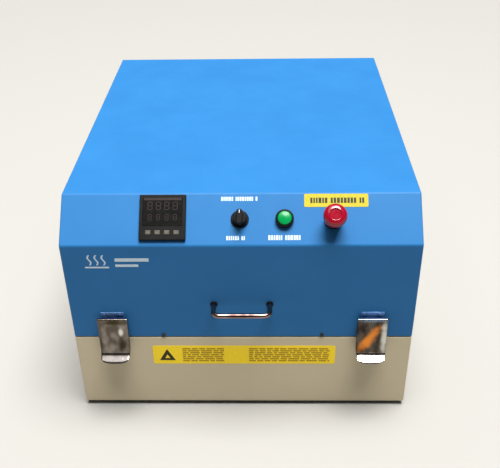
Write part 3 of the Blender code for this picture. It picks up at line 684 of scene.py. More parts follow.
def coil_tree():
    """A coil of wire about Z: Turns of it over a Height, at a Coil Radius, of a Wire Radius."""
    tree, given, output = new_tree(
        "wire_coil",
        [
            ("Turns", "NodeSocketFloat"),
            ("Height", "NodeSocketFloat"),
            ("Coil Radius", "NodeSocketFloat"),
            ("Wire Radius", "NodeSocketFloat"),
            ("Finish", "NodeSocketMaterial"),
        ],
    )
    sizes = {
        "Resolution": 10,
        "Rotations": given["Turns"],
        "Start Radius": given["Coil Radius"],
        "End Radius": given["Coil Radius"],
        "Height": given["Height"],
    }
    spiral = add_node(tree, "GeometryNodeCurveSpiral", inputs=sizes)
    wire = swept(tree, spiral.outputs["Curve"], given["Wire Radius"], 5)
    return close_tree(tree, wire, given["Finish"], output)


def grown(obj, tree, values):
    """The shape that a tree makes on an object, as a plain mesh's bmesh."""
    modifier = obj.modifiers.new(tree.name, "NODES")
    modifier.node_group = tree
    for label, value in values.items():
        modifier[socket_id(tree, label)] = value
    return settled(obj)


def seeds(places):
    """Points with a turn and a size: places are (matrix, size) pairs."""
    mesh = bpy.data.meshes.new("places")
    mesh.from_pydata([matrix.translation for matrix, _ in places], [], [])
    turns = mesh.attributes.new("turn", "FLOAT_VECTOR", "POINT")
    sizes = mesh.attributes.new("size", "FLOAT_VECTOR", "POINT")
    for i, (matrix, size) in enumerate(places):
        turns.data[i].vector = matrix.to_euler()
        sizes.data[i].vector = size
    obj = bpy.data.objects.new("places", mesh)
    bpy.context.scene.collection.objects.link(obj)
    return obj


def copies(shape, places, finish, size=1.0):
    """The shape at every (matrix, size) place, as one mesh."""
    proto = mesh_object("shape", shape)
    values = {"Shape": proto, "Size": size, "Finish": MATERIALS[finish]}
    result = grown(seeds(places), COPIES, values)
    bpy.data.objects.remove(proto)
    return result


def scatter(name, shape, places, finish, body):
    """A piece made of a shape at every place."""
    piece(name, copies(shape, places, finish), finish, body)


def on_face(face, points, depth=0.0, size=(1, 1, 1)):
    """Places at (x, y) points of a face."""
    return [(face @ Matrix.Translation((x, y, depth)), size) for x, y in points]


# --- Case ---

def lid_outline():
    """The lid's side view as (y, z) points, from the front's lower edge round to the rear."""
    return [
        (FRONT, LID_Z),
        (BACK, LID_Z),
        (BACK, TOP_Z),
        (FRONT + SLOPE_RUN, TOP_Z),
        (FRONT, TOP_Z - SLOPE_RUN),
    ]


def walled(bm, offset):
    """A surface as an object whose modifier gives it the sheet's thickness."""
    obj = mesh_object("sheet", bm)
    wall = obj.modifiers.new("wall", "SOLIDIFY")
    wall.thickness = SHEET
    wall.offset = offset
    return obj, wall


def folded_sheet(bm, open_faces):
    """A closed form made a shell of sheet: faces left open, edges bent round, walls inwards."""
    bmesh.ops.delete(bm, geom=[f for f in bm.faces if open_faces(f)], context="FACES")
    soften(bm, BEND, 4)
    bmesh.ops.recalc_face_normals(bm, faces=bm.faces)
    obj, wall = walled(bm, -1.0)
    wall.use_even_offset = True
    return settled(obj)


def make_lid_shell():
    """The lid's folded sheet, open below and behind, with the panel's cut-outs."""
    to_world = Matrix(((0, 0, 1, 0), (1, 0, 0, 0), (0, 1, 0, 0), (0, 0, 0, 1)))
    form = moved(prism(lid_outline(), -HALF_W, HALF_W), to_world)
    middle = Vector((0, (FRONT + BACK) / 2, (LID_Z + TOP_Z) / 2))
    inverted = [f for f in form.faces if (f.calc_center_median() - middle).dot(f.normal) < 0]
    bmesh.ops.reverse_faces(form, faces=inverted)
    shell = folded_sheet(form, lambda f: f.normal.y > 0.9 or f.normal.z < -0.9)
    x, s, _ = on_panel("controller_body")
    half, deep = 0.034, 0.02
    holes = [moved(block((x - half, s - half, -deep), (x + half, s + half, deep)), PANEL)]
    for node in ("selector_body", "start_button_body", "estop_body"):
        x, s, _ = on_panel(node)
        holes.append(fitted(turned([(0, -deep), (HOLE_R, -deep), (HOLE_R, deep), (0, deep)], 32), x, s))
    piece("lid_shell_folded", carve(shell, holes), "blue_paint", "lid", ["lid_shell"])


def make_base_case():
    """The base's folded sheet, open below, with the chamber's mouth cut in its top."""
    case = folded_sheet(block(CASE_LOW, (HALF_W, BACK, SEAM_Z)), lambda f: f.normal.z < -0.9)
    low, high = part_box("lower_liner")
    deep = 0.02
    hole = block((low.x - GAP, low.y - GAP, SEAM_Z - deep), (high.x + GAP, high.y + GAP, SEAM_Z + deep))
    piece("base_case_folded", carve(case, [hole]), "beige_paint", "base", ["base_case"])


def on_panel(node):
    """A control's axis on the panel and its half width: (x, distance up the slope, half width)."""
    low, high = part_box(node)
    local = PANEL.inverted() @ ((low + high) / 2)
    return local.x, local.y, (high.x - low.x) / 2


def fitted(bm, x, s):
    """A shape made about Z, moved to a control's axis on the panel."""
    return moved(shifted(bm, x, s, 0), PANEL)


def pan_screw(radius):
    """A pan-head screw with a cross recess, its seat at z = 0."""
    dome = arc((0, -radius * 0.55), radius * 1.12, 88, 30, 5)
    head = [(0, 0.6 * radius), *[(r, max(h, 0.0)) for r, h in dome], (radius, 0), (0, 0)]
    long, short = radius * 0.55, radius * 0.12
    slots = [
        block((-u, -v, radius * 0.25), (u, v, radius)) for u, v in ((long, short), (short, long))
    ]
    return carve(turned(head, 20), slots)


def make_screws():
    """Case screws: along the lid's and the base's sides, round the rear panel, on the bottom."""
    edge, above, end = 0.012, 0.014, 0.060
    rows = [FRONT + end, (FRONT + BACK) / 2, BACK - end]
    lid, base = [], []
    for face, sign in ((LEFT_FACE, -1), (RIGHT_FACE, 1)):
        lid += on_face(face, [(sign * y, LID_Z + above) for y in rows])
        base += on_face(face, [(sign * y, BASE_Z + above) for y in rows])
    rear_x = [-HALF_W + edge, -0.100, 0.0, 0.100, HALF_W - edge]
    lid += on_face(REAR_FACE, [(x, TOP_Z - edge) for x in rear_x])
    lid += on_face(REAR_FACE, [(x, LID_Z + above) for x in (rear_x[0], 0.0, rear_x[-1])])
    scatter("lid_case_screws", pan_screw(SCREW_R), lid, "zinc_steel", "lid")
    low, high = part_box("bottom_plate")
    under = Matrix.Translation((0, 0, low.z)) @ rotation(180, "X")
    for x in (low.x + edge, 0.0, high.x - edge):
        base += on_face(under, [(x, -y) for y in (low.y + edge, high.y - edge)])
    scatter("base_case_screws", pan_screw(SCREW_R), base, "zinc_steel", "base")


def make_feet():
    """Rubber feet: turned pads with a screw up their recessed middle."""
    for row in ("front", "rear"):
        for side in ("left", "right"):
            low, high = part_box(f"foot_{row}_{side}")
            height, r = high.z - low.z, (high.x - low.x) / 2
            profile = [
                (0, 0.0040),
                (0.0055, 0.0040),
                (0.0060, 0.0004),
                *arc((r - 0.0030, 0.0012), 0.0012, 270, 320, 3),
                *arc((r - 0.0012, 0.0024), 0.0012, -50, 0, 3),
                (r - 0.0014, height),
                (0, height),
            ]
            place = Matrix.Translation(((low.x + high.x) / 2, (low.y + high.y) / 2, low.z))
            pad = moved(turned(profile, 48), place)
            piece(f"foot_{row}_{side}_pad", pad, "rubber", "base", [f"foot_{row}_{side}"])
            seat = place @ Matrix.Translation((0, 0, 0.0040)) @ rotation(180, "X")
            screw = moved(pan_screw(0.0040), seat)
            piece(f"foot_{row}_{side}_screw", screw, "zinc_steel", "base")


def make_louvres():
    """Pressed louvres in the rear panel, with painted shade under their hoods: a thin dark sheet for each
    slot's shaded opening.
    """
    hood = block((-0.020, -0.0025, 0), (0.020, 0.0025, 0.0022), 0.0018, 3)
    # painted shade: a dark sheet in black ink where each slot's opening lies in shade
    mouth = block((-0.0185, -0.0032, 0.0001), (0.0185, -0.0022, 0.0009))
    spots = [(x, LID_Z + 0.120 + 0.011 * i) for x in (0.085, 0.135, 0.185) for i in range(7)]
    places = on_face(REAR_FACE, spots)
    scatter("rear_louvre_hoods", hood, places, "blue_paint", "lid")
    scatter("rear_louvre_mouths", mouth, places, "dark_ink", "lid")


# --- Prints and plates ---

def flat_plate(half_x, half_y, thickness, radius, centre=(0, 0)):
    return prism(rounded_outline(half_x, half_y, radius, centre), 0, thickness)


def draws(seed):
    """The same whole numbers below 2**31 each time, from a seed."""
    while True:
        seed = (seed * 1103515245 + 12345) % 2**31
        yield seed


def dashes(width, height, rows, seed, gap):
    """Word-like dashes in rows that fill a field, as (x, y, length, height) boxes."""
    pitch = height / rows
    numbers = draws(seed)
    marks = []
    for row in range(rows):
        x = -width / 2
        y = height / 2 - pitch * (row + 0.5)
        while x < width / 2:
            length = min(pitch * (1.2 + 3.2 * next(numbers) / 2**31), width / 2 - x)
            if length > pitch * 0.5:
                marks.append((x + length / 2, y, length, pitch * (1 - gap)))
            x += length + pitch * 0.55
    return marks


def strokes(width, height, seed):
    """A row of short upright bars in groups, as fine print looks from afar."""
    numbers = draws(seed)
    marks = []
    x = -width / 2
    left = 6
    while x < width / 2:
        number = next(numbers)
        length = height * (0.22 + 0.30 * number / 2**31)
        marks.append((x + length / 2, 0, length, height))
        left -= 1
        x += length + height * 0.16
        if left == 0:
            x += height * 0.45
            left = 4 + number % 5
    return marks


def print_marks(name, face, centre, marks, finish, body, depth=0.00035):
    """Printed bars on a face: ink, drawn 0.08 mm thick."""
    thick = 0.00008
    bar = block((-0.5, -0.5, 0), (0.5, 0.5, 1))
    places = [
        (face @ Matrix.Translation((centre[0] + x, centre[1] + y, depth)), (length, height, thick))
        for x, y, length, height in marks
    ]
    scatter(name, bar, places, finish, body)


def make_base_label():
    """The yellow strip on the base: a plain triangle and rows of plain bars."""
    half_x, half_y, z = 0.1535, 0.0200, BASE_Z + 0.107
    strip = moved(flat_plate(half_x, half_y, 0.0003, 0.003, (0.0015, z)), FRONT_FACE)
    piece("base_strip", strip, "yellow_foil", "base")
    outer = prism([(-0.0135, -0.0120), (0.0135, -0.0120), (0, 0.0125)], 0.0003, 0.00045)
    inner = prism([(-0.0045, -0.0075), (0.0045, -0.0075), (0, 0.0010)], 0.0002, 0.0006)
    triangle = moved(shifted(carve(outer, [inner]), -0.128, z, 0), FRONT_FACE)
    piece("base_strip_triangle", triangle, "dark_ink", "base")
    marks = [(x - 0.067, y, w, h) for x, y, w, h in dashes(0.070, 0.031, 7, 7, 0.38)]
    marks += [(x + 0.078, y, w, h) for x, y, w, h in dashes(0.136, 0.031, 7, 11, 0.38)]
    print_marks("base_strip_bars", FRONT_FACE, (0, z), marks, "olive_ink", "base")


def make_estop_legend():
    """The yellow legend strip above the emergency stop."""
    centre = (0.148, 0.0712)
    strip = moved(flat_plate(0.0495, 0.0105, 0.0003, 0.002, centre), PANEL)
    piece("estop_legend", strip, "dull_yellow_foil", "lid")
    marks = strokes(0.080, 0.0085, 5)
    print_marks("estop_legend_bars", PANEL, centre, marks, "dark_ink", "lid")


def make_panel_prints():
    """Pale strokes above and below the controls."""
    fields = [
        ("selector_print_above", (-0.003, 0.0742), (0.054, 0.0065), 3),
        ("selector_print_below", (-0.0075, 0.0120), (0.028, 0.0065), 9),
        ("start_print_below", (0.067, 0.0125), (0.048, 0.0075), 13),
    ]
    for name, centre, (width, height), seed in fields:
        marks = strokes(width, height, seed)
        print_marks(name, PANEL, centre, marks, "white_ink", "lid", 0.00005)


def make_front_mark():
    """A plain heat sign: three rising waves over a bar, and two bars beside it."""
    shapes = []
    for i in range(3):
        left, right = [], []
        for step in range(13):
            y = 0.019 * step / 12
            x = -0.236 + 0.011 * i + 0.0022 * math.sin(math.tau * step / 12)
            left.append((x - 0.0013, y))
            right.append((x + 0.0013, y))
        shapes.append(shifted(prism(left[::-1] + right, 0.00005, 0.0002), 0, 0.3020, 0))
    for x0, x1, y0, y1 in (
        (-0.244, -0.206, 0.2965, 0.2992),
        (-0.196, -0.143, 0.3090, 0.3150),
        (-0.196, -0.160, 0.2990, 0.3035),
    ):
        shapes.append(block((x0, y0, 0.00005), (x1, y1, 0.0002)))
    mark = moved(merged(shapes), FRONT_FACE)
    piece("front_mark", mark, "white_ink", "lid")


# --- Controls ---

def make_controller():
    """The square controller: rounded housing, smoked window with unlit digits, four keys."""
    x, s, half = on_panel("controller_body")
    front = shifted(block((-half, -half, GAP), (half, half, 0.006), 0.0012, 3), x, s, 0)
    recess = block((x - 0.031, s - 0.014, 0.0040), (x + 0.031, s + 0.032, 0.010))
    key_pitch, digit_pitch = 0.0145, 0.013
    keys = [(x + key_pitch * (i - 1.5), s - 0.0240) for i in range(4)]
    pockets = [
        shifted(block((-0.0050, -0.0040, 0.0020), (0.0050, 0.0040, 0.010)), u, v, 0) for u, v in keys
    ]
    rear = half - 0.0023
    shapes = [
        carve(front, [recess, *pockets]),
        shifted(block((-rear, -rear, -0.060), (rear, rear, 0.0), 0.001), x, s, 0),
    ]
    housing = moved(merged(shapes), PANEL)
    piece("controller_housing", housing, "black_plastic", "lid", ["controller_body"])
    window = block((x - 0.0307, s - 0.0137, 0.0043), (x + 0.0307, s + 0.0317, 0.0057), 0.0005, 2)
    piece("controller_front", moved(window, PANEL), "dark_window", "lid", ["controller_window"])
    marks = [(x, s + 0.0290, 0.058, 0.0040)]
    for height, up in ((0.012, 0.0180), (0.009, 0.0000)):
        for i in range(4):
            marks += seven_segments(height, x + digit_pitch * (i - 1.5), s + up)
    print_marks("controller_digits", PANEL, (0, 0), marks, "led_dark", "lid", 0.0057)
    for number, (u, v) in enumerate(keys, 1):
        cap = block((u - 0.0046, v - 0.0036, 0.0027), (u + 0.0046, v + 0.0036, 0.0068), 0.0009, 3)
        name = f"controller_key_{number}"
        piece(f"{name}_cap", moved(cap, PANEL), "grey_plastic", name, [name])
        mark = prism([(-0.0022, -0.0018), (0.0022, -0.0018), (0, 0.0024)], 0.0068, 0.00688)
        mark = fitted(moved(mark, rotation((90, 0, 180, -90)[number - 1], "Z")), u, v)
        piece(f"{name}_mark", mark, "grey_ink", name)


def seven_segments(height, x, s):
    """The bars of one digit with every segment drawn, as (x, y, length, height) marks."""
    width, bar = height * 0.55, height * 0.10
    marks = [(x, s + height / 2 * k, width * 0.8, bar) for k in (-1, 0, 1)]
    for side in (-1, 1):
        for k in (-1, 1):
            marks.append((x + side * width / 2, s + height / 4 * k, bar, height * 0.4))
    return marks


def make_selector():
    """The selector: bezel, and a knob with a grip across it and a white line."""
    x, s, rim = on_panel("selector_body")
    bezel = [
        (0.0106, 0.0030),
        (rim - 0.0013, 0.0030),
        *arc((rim - 0.0012, 0.0018), 0.0012, 80, 0, 4),
        (rim, GAP),
        *BARREL,
        (0, 0.0024),
        (0.0106, 0.0024),
    ]
    piece("selector_bezel", fitted(turned(bezel), x, s), "black_plastic", "lid", ["selector_body"])
    cap = [(0, 0.0118), (0.0092, 0.0118), *arc((0.0092, 0.0105), 0.0013, 90, 0, 4), (0.0105, 0.0033)]
    grip = prism(rounded_outline(0.0046, 0.0115, 0.0040), 0.0060, 0.0230)
    soften(grip, 0.0012, 3, 50)
    knob = fitted(merged([turned([*cap, (0, 0.0033)]), grip]), x, s)
    piece("selector_grip", knob, "black_plastic", "selector", ["selector_knob"])
    line = fitted(block((-0.0005, 0.0050, 0.02295), (0.0005, 0.0100, 0.0231)), x, s)
    piece("selector_line", line, "white_ink", "selector")


def make_start_button():
    """The start button: black bezel and a domed green lens."""
    x, s, rim = on_panel("start_button_body")
    bezel = [
        (0.0113, 0.0076),
        *arc((0.0120, 0.0076), 0.0007, 180, 90, 3),
        *arc((rim - 0.0009, 0.0071), 0.0009, 80, 0, 4),
        (rim, GAP),
        *BARREL,
        (0, -0.002),
        (0.0100, -0.002),
        (0.0113, 0.0010),
    ]
    ring = fitted(turned(bezel), x, s)
    piece("start_button_bezel", ring, "black_plastic", "lid", ["start_button_body"])
    dome = [*arc((0, -0.0230), 0.0352, 88, 74, 8), (0.0106, 0.0100)]
    lens = [(0, 0.0122), *dome, (BARREL_R, 0.0045), (0, 0.0045)]
    dome = fitted(turned(lens), x, s)
    piece("start_button_dome", dome, "green_lens", "start_button", ["start_button_lens"])


def make_estop():
    """The emergency stop: black collar, stem and a red mushroom head with a dished top."""
    x, s, _ = on_panel("estop_body")
    collar = [
        (0.0080, 0.0136),
        *arc((0.0088, 0.0132), 0.0008, 180, 90, 3),
        *arc((0.0130, 0.0125), 0.0015, 90, 0, 4),
        (0.0145, 0.0040),
        (0.0139, 0.0036),
        (0.0139, GAP),
        *BARREL,
        (0, 0.0020),
        (0.0080, 0.0020),
    ]
    ring = fitted(turned(collar), x, s)
    piece("estop_collar", ring, "black_plastic", "lid", ["estop_body"])
    head = [
        (0, 0.0416),
        (0.0086, 0.0416),
        *arc((0.0094, 0.0424), 0.0008, 225, 90, 4)[1:],
        *arc((0.0091, 0.0340), 0.0090, 83, 0, 9),
        (0.0181, 0.0330),
        *arc((0.0156, 0.0285), 0.0024, 0, -70, 5),
        (0.0100, 0.0225),
        (0.0085, 0.0205),
        (0.0080, 0.0205),
        (0.0080, 0.0250),
        (0, 0.0250),
    ]
    mushroom = fitted(turned(head, 80), x, s)
    piece("estop_mushroom", mushroom, "red_plastic", "estop_mushroom", ["estop_head"])


# --- Handle and latches ---

def make_handle():
    """The bow handle: a bent round bar with a turned foot at each end."""
    low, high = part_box("handle")
    radius = (high.z - low.z) / 2
    half, z, bend = high.x - radius, (low.z + high.z) / 2, 0.010
    y_bar = low.y + radius
    path = [(-half, FRONT - GAP)]
    path += arc((-half + bend, y_bar + bend), bend, 180, 270, 10)
    path += arc((half - bend, y_bar + bend), bend, 270, 360, 10)
    path += [(half, FRONT - GAP)]
    bar = tube([(x, y, z) for x, y in path], radius, 24)
    rim = arc((0.0050, 0.0012), 0.0010, 90, 0, 3)
    foot = [(0, 0.0022), (0.0048, 0.0022), *rim, (0.0061, GAP), (0, GAP)]
    piece("handle_bar", bar, "bar_chrome", "lid", ["handle"])
    places = on_face(FRONT_FACE, [(-half, z), (half, z)])
    # The black feet are partly a real part and partly painted shade: their dark stands for the shade round
    # the leg roots.
    scatter("handle_feet", turned(foot), places, "black_plastic", "lid")


def join_rows(bm, rows):
    """Faces between neighbouring rows of points."""
    for a, b in zip(rows, rows[1:]):
        for i in range(len(a) - 1):
            bm.faces.new([a[i], a[i + 1], b[i + 1], b[i]])


def lever_path():
    """The lever's middle line, as (distance out, height) points from the curl down to the lip."""
    return [
        *arc((0.0088, 0.1992), 0.0021, 195, 12, 8),
        (0.0112, 0.1930),
        (0.0124, 0.1740),
        (0.0138, 0.1550),
        (0.0148, 0.1400),
        (0.0151, 0.1363),
        (0.0160, 0.1336),
        (0.0178, 0.1320),
        (0.0235, 0.1284),
        (0.0308, 0.1239),
    ]


def lever_sheet(x):
    """A pressed sheet swept down the path: side flanges on its body, a flared lip with cut corners."""
    half, body_first, body_last, lip_first = 0.0244, 9, 12, 15
    across = [(-1, 1), (-1, 0.5), (-0.97, 0.18), (-0.90, 0.03), (-0.80, 0), (-0.5, 0), (0, 0)]
    across += [(-u, v) for u, v in across[-2::-1]]
    path = lever_path()
    bm = bmesh.new()
    rows = []
    for i, (out, z) in enumerate(path):
        flange = 0.0050 if body_first <= i <= body_last else 0.0006
        row = []
        for u, v in across:
            corner = max(0.0, abs(u) - 0.5) / 0.5
            back = 0.35 * corner**2 if i == len(path) - 1 else 0.0
            o = out + back * (path[lip_first - 1][0] - out)
            h = z + back * (path[lip_first - 1][1] - z)
            inset = 0.0020 * max(0, i - body_last) / (len(path) - 1 - body_last)
            row.append(bm.verts.new((x + u * (half - inset), FRONT - o + flange * v, h)))
        rows.append(row)
    join_rows(bm, rows)
    return bm


def make_latch(side):
    """One draw latch: lever of pressed sheet, wire bail, riveted plate and keeper."""
    x, _ = box_middle(f"latch_lever_{side}")
    obj, _ = walled(lever_sheet(x), 0.0)
    smooth = obj.modifiers.new("smooth", "SUBSURF")
    smooth.levels = smooth.render_levels = 2
    sheet = settled(obj)
    bmesh.ops.recalc_face_normals(sheet, faces=sheet.faces)
    ears = [x - EAR_X, x + EAR_X]
    lugs = [
        block((e - 0.001, FRONT - 0.0132, 0.157), (e + 0.001, FRONT - 0.0062, 0.163), 0.0004) for e in ears
    ]
    node = f"latch_lever_{side}"
    piece(f"{node}_pressed", merged([sheet, *lugs]), f"chrome_{side}", node, [node], sharp=50)
    make_bail(side)
    make_latch_plate(side, x, ears)
    # the keeper and its rivets take the zinc plate whose blue tint is a painted reflection
    hook = merged([
        block((x - 0.019, FRONT - 0.0018, 0.168), (x + 0.019, FRONT - GAP, 0.2095), 0.0006, 3),
        block((x - 0.019, FRONT - 0.0055, 0.1935), (x + 0.019, FRONT - 0.0010, 0.1950), 0.0006, 3),
    ])
    piece(f"latch_keeper_{side}_hook", hook, "blue_zinc", "lid", [f"latch_keeper_{side}"])
    places = on_face(FRONT_FACE, [(x + dx, 0.2050) for dx in (-RIVET_X, RIVET_X)], 0.0018)
    scatter(f"latch_keeper_{side}_rivets", rivet(), places, "blue_zinc", "lid")


def rivet():
    """A low round rivet head."""
    return turned([(0, 0.0009), (0.0012, 0.0008), (0.0020, 0.0004), (0.0022, 0), (0, 0)], 16)


def make_bail(side):
    """The latch's spring wire loop, with round bends."""
    node = f"latch_bail_{side}"
    low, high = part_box(node)
    r = 0.0013
    corners = [
        (low.x + r, high.y - r, low.z + r),
        (high.x - r, high.y - r, low.z + r),
        (high.x - r, low.y + r, high.z - r),
        (low.x + r, low.y + r, high.z - r),
    ]
    bail = tube(round_corners(corners, 0.003), r, 16, cyclic=True)
    piece(f"{node}_wire", bail, "zinc_steel", node, [node])


def make_latch_plate(side, x, ears):
    """The latch's plate on the base: rounded corners, two bored ears and two rivets."""
    low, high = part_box(f"latch_plate_{side}")
    out, z = 0.0055, 0.138
    centre = (x, (low.z + high.z) / 2)
    plate = shifted(flat_plate(0.019, (high.z - low.z) / 2, 0.0015, 0.004, centre), 0, 0, GAP)
    shapes = [moved(plate, FRONT_FACE)]
    for e in ears:
        inner = (e - 0.001, FRONT - 0.0085, z - 0.005)
        outer = (e + 0.001, FRONT - 0.0012, z + 0.005)
        bore = turned([(0, -0.01), (0.0018, -0.01), (0.0018, 0.01), (0, 0.01)], 16)
        bore = moved(bore, Matrix.Translation((e, FRONT - out, z)) @ rotation(90, "Y"))
        shapes.append(carve(block(inner, outer, 0.0008, 3), [bore]))
    piece(f"latch_plate_{side}_bored", merged(shapes), "chrome", "base", [f"latch_plate_{side}"])
    places = on_face(FRONT_FACE, [(x + dx, 0.118) for dx in (-RIVET_X, RIVET_X)], 0.0018)
    scatter(f"latch_plate_{side}_rivets", rivet(), places, "chrome", "base")


def round_corners(corners, radius, steps=5):
    """A closed loop of points with each corner replaced by a smooth bend."""
    points = []
    for i, corner in enumerate(corners):
        here = Vector(corner)
        before = here + (Vector(corners[i - 1]) - here).normalized() * radius
        after = here + (Vector(corners[(i + 1) % len(corners)]) - here).normalized() * radius
        for k in range(steps + 1):
            t = k / steps
            points.append(before * (1 - t) ** 2 + here * 2 * t * (1 - t) + after * t**2)
    return points


def make_buffers():
    """Two rubber buffers at the lid's lower front edge."""
    side = [(0, 0.0026), (0.0018, 0.0025), (0.0029, 0.0017), (0.0032, 0.0005), (0.0032, 0), (0, 0)]
    places = on_face(FRONT_FACE, [(x, LID_Z + 0.0036) for x in (-0.131, 0.131)])
    scatter("lid_buffers", turned(side, 24), places, "rubber", "lid")


# --- Rear ---

def make_fan_guard():
    """The fan's wire guard: four rings on four spokes."""
    centre = box_middle("cooling_fan_guard")
    rings = []
    for r in (0.012, 0.020, 0.028, 0.036):
        circle = [(*point, 0.0026) for point in arc((0, 0), r, 0, 360, 48)[:-1]]
        rings.append(tube(circle, 0.0008, 8, cyclic=True))
    spokes = []
    for degrees in (45, 135, 225, 315):
        c, k = math.cos(math.radians(degrees)), math.sin(math.radians(degrees))
        spokes.append(tube([(0.009 * c, 0.009 * k, 0.0012), (0.041 * c, 0.041 * k, 0.0012)], 0.0009, 8))
    guard = moved(shifted(merged(rings + spokes), -centre[0], centre[1], 0), REAR_FACE)
    piece("fan_guard_wires", guard, "chrome", "lid", ["cooling_fan_guard"])
    make_fan_rotor(centre)


def make_fan_rotor(centre):
    """The electronics fan's rotor: a hub with seven twisted blades."""
    low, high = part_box("cooling_fan_rotor")
    depth = high.y - low.y
    nose = arc((0.0150, 0.0010), 0.0010, 270, 360, 3)
    shapes = [turned([(0, 0), (0.0150, 0), *nose, (0.0160, depth), (0, depth)], 48)]
    for i in range(7):
        blade = bmesh.new()
        rows = []
        for k in range(5):
            r = 0.0155 + (0.0345 - 0.0155) * k / 4
            half_turn = math.radians(20 - 2 * k)
            row = []
            for m in range(5):
                t = m / 4 - 0.5
                angle = math.tau * i / 7 + 2 * half_turn * t
                z = depth * (0.5 + 0.8 * t)
                row.append(blade.verts.new((r * math.cos(angle), r * math.sin(angle), z)))
            rows.append(row)
        join_rows(blade, rows)
        bmesh.ops.recalc_face_normals(blade, faces=blade.faces)
        bmesh.ops.solidify(blade, geom=blade.faces[:], thickness=0.0012)
        shapes.append(blade)
    turn = Matrix.Translation((centre[0], low.y, centre[1])) @ rotation(-90, "X")
    rotor = moved(merged(shapes), turn)
    piece("fan_rotor_blades", rotor, "black_plastic", "cooling_fan", ["cooling_fan_rotor"])


def make_inlet():
    """The mains inlet's three pins and two screws."""
    x, z = box_middle("power_inlet")
    pins = []
    for u, v in ((x - 0.007, z - 0.002), (x, z + 0.002), (x + 0.007, z - 0.002)):
        tip, root = (u - 0.002, BACK - 0.0145, v - 0.001), (u + 0.002, BACK + 0.001, v + 0.001)
        pins.append(block(tip, root, 0.0005))
    piece("power_inlet_pins", merged(pins), "brass", "lid")
    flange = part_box("power_inlet")[1].y - BACK
    places = on_face(REAR_FACE, [(-x + dx, z) for dx in (-0.0195, 0.0195)], flange)
    scatter("power_inlet_screws", pan_screw(0.0028), places, "zinc_steel", "lid")


def make_rear_marks():
    """The rocker's line and ring, and a plain rating plate with bars for its print."""
    x, z = box_middle("main_switch_rocker")
    face_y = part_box("main_switch_rocker")[1].y - 0.0006
    tilt = Matrix.Translation((x, face_y, z)) @ REAR_FACE.to_3x3().to_4x4()
    ring = turned([(0.0011, 0), (0.0016, 0), (0.0016, 0.0002), (0.0011, 0.0002)], 24)
    line = shifted(block((-0.0003, -0.0014, 0), (0.0003, 0.0014, 0.0002)), 0, 0.0048, -0.0002)
    marks = merged([line, shifted(ring, 0, -0.0050, 0.0003)])
    piece("main_switch_marks", moved(marks, tilt), "white_ink", "main_switch")
    place = (-0.105, LID_Z + 0.045)
    plate = moved(flat_plate(0.030, 0.016, 0.0005, 0.002, place), REAR_FACE)
    piece("rating_plate", plate, "aluminium", "lid")
    marks = dashes(0.052, 0.025, 5, 21, 0.35)
    print_marks("rating_plate_bars", REAR_FACE, place, marks, "dark_ink", "lid", 0.00052)


def make_hinge_screws():
    """Three screws through each leaf of the two hinges."""
    lid, base = [], []
    base_z, lid_z, pitch, leaf_t = 0.124, 0.192, 0.024, 0.0023
    for side in ("left", "right"):
        x, _ = box_middle(f"hinge_base_leaf_{side}")
        row = [-x - pitch, -x, -x + pitch]
        base += on_face(REAR_FACE, [(u, base_z) for u in row], leaf_t)
        lid += on_face(REAR_FACE, [(u, lid_z) for u in row], leaf_t)
    scatter("hinge_base_screws", pan_screw(SCREW_R), base, "zinc_steel", "base")
    scatter("hinge_lid_screws", pan_screw(SCREW_R), lid, "zinc_steel", "lid")


# --- Chamber ---

def make_rack():
    """The welded wire rack: a bent frame wire, crosswise wires, two lengthwise wires and four legs."""
    low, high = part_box("product_rack")
    frame_r, wire_r = 0.0020, 0.0015
    z = high.z - frame_r
    corners = [
        (low.x + frame_r, low.y + frame_r, z),
        (high.x - frame_r, low.y + frame_r, z),
        (high.x - frame_r, high.y - frame_r, z),
        (low.x + frame_r, high.y - frame_r, z),
    ]
    border = tube(round_corners(corners, 0.008), frame_r, 12, cyclic=True)
    count = 19
    pitch = (high.y - low.y - 0.010) / (count + 1)
    holder = mesh_object("row", bmesh.new())
    values = {
        "Count": count,
        "Pitch": pitch,
        "Length": high.x - low.x - 2 * frame_r,
        "Radius": wire_r,
        "Finish": MATERIALS["stainless"],
    }
    wires = shifted(grown(holder, WIRES, values), 0, low.y + 0.005 + pitch, z)
    rails = [
        tube([(x, low.y + 0.002, z - 0.0010), (x, high.y - 0.002, z - 0.0010)], wire_r, 12)
        for x in (-0.060, 0.060)
    ]
    legs = []
    for sx in (-1, 1):
        for y in (low.y + frame_r, high.y - frame_r):
            foot_x = sx * (high.x - frame_r)
            legs.append(tube([(foot_x, y, z), (foot_x, y, low.z)], frame_r, 12))
    rack = merged([border, wires, *rails, *legs])
    piece("product_rack_wires", rack, "stainless", "base", ["product_rack"])


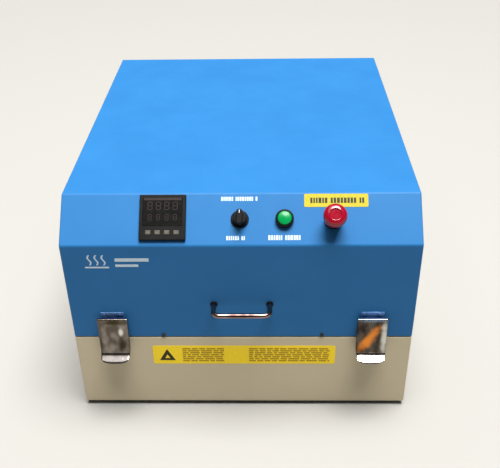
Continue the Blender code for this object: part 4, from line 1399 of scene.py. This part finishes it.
def make_heaters():
    """Quartz heater tubes: clear tube, resistance coil and ceramic end caps."""
    for number in range(1, 5):
        node = f"heater_tube_{number}"
        low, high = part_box(node)
        y, z = (low.y + high.y) / 2, (low.z + high.z) / 2
        length, r = high.x - low.x, (high.z - low.z) / 2
        along = Matrix.Translation((low.x, y, z)) @ rotation(90, "Y")
        wall = [(r, 0.004), (r, length - 0.004), (r - 0.001, length - 0.004), (r - 0.001, 0.004)]
        piece(f"{node}_quartz", moved(turned(wall, 32), along), "quartz", "lid", [node])
        holder = mesh_object("coil", bmesh.new())
        values = {
            "Turns": 60.0,
            "Height": length - 0.030,
            "Coil Radius": r * 0.55,
            "Wire Radius": 0.0005,
            "Finish": MATERIALS["hot_wire"],
        }
        coil = moved(shifted(grown(holder, COIL, values), 0, 0, 0.015), along)
        piece(f"{node}_coil", coil, "hot_wire", "lid")
        wide = r + 0.0002
        cap = [(0, 0), (r - 0.0002, 0), (wide, 0.001), (wide, 0.004), (r - 0.0012, 0.012), (0, 0.012)]
        far_end = Matrix.Translation((0, 0, length)) @ rotation(180, "X")
        caps = [turned(cap, 32), moved(turned(cap, 32), far_end)]
        piece(f"{node}_caps", moved(merged(caps), along), "white_ceramic", "lid")


def make_deck_screws():
    """Screws round the lid's deck, which face down when the lid is shut."""
    under = Matrix.Translation((0, 0, LID_Z)) @ rotation(180, "X")
    low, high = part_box("lid_deck")
    spots = []
    for sx in (-1, 1):
        for y in (low.y + 0.080, 0.0, high.y - 0.080):
            spots.append((sx * (high.x - 0.030), -y))
    head = turned([(0, 0.0007), (0.0022, 0.0006), (0.0030, 0.0003), (0.0032, 0), (0, 0)], 16)
    scatter("lid_deck_screws", head, on_face(under, spots), "zinc_steel", "lid")


def dress_cad_nodes():
    """Gives every CAD node that still shows the finish of its slot."""
    for entry in frame["record"]["subparts"]:
        mesh = frame["nodes"][entry["node"]].data
        mesh.materials.clear()
        mesh.materials.append(MATERIALS[entry["material_slot"]])


make_camera()
make_lights()
MATERIALS = make_materials()
COPIES, WIRES, COIL = copies_tree(), wires_tree(), coil_tree()
make_floor()
dress_cad_nodes()
make_lid_shell()
make_base_case()
make_screws()
make_feet()
make_louvres()
make_base_label()
make_estop_legend()
make_panel_prints()
make_front_mark()
make_controller()
make_selector()
make_start_button()
make_estop()
make_handle()
make_latch("left")
make_latch("right")
make_buffers()
make_fan_guard()
make_inlet()
make_rear_marks()
make_hinge_screws()
make_rack()
make_heaters()
make_deck_screws()
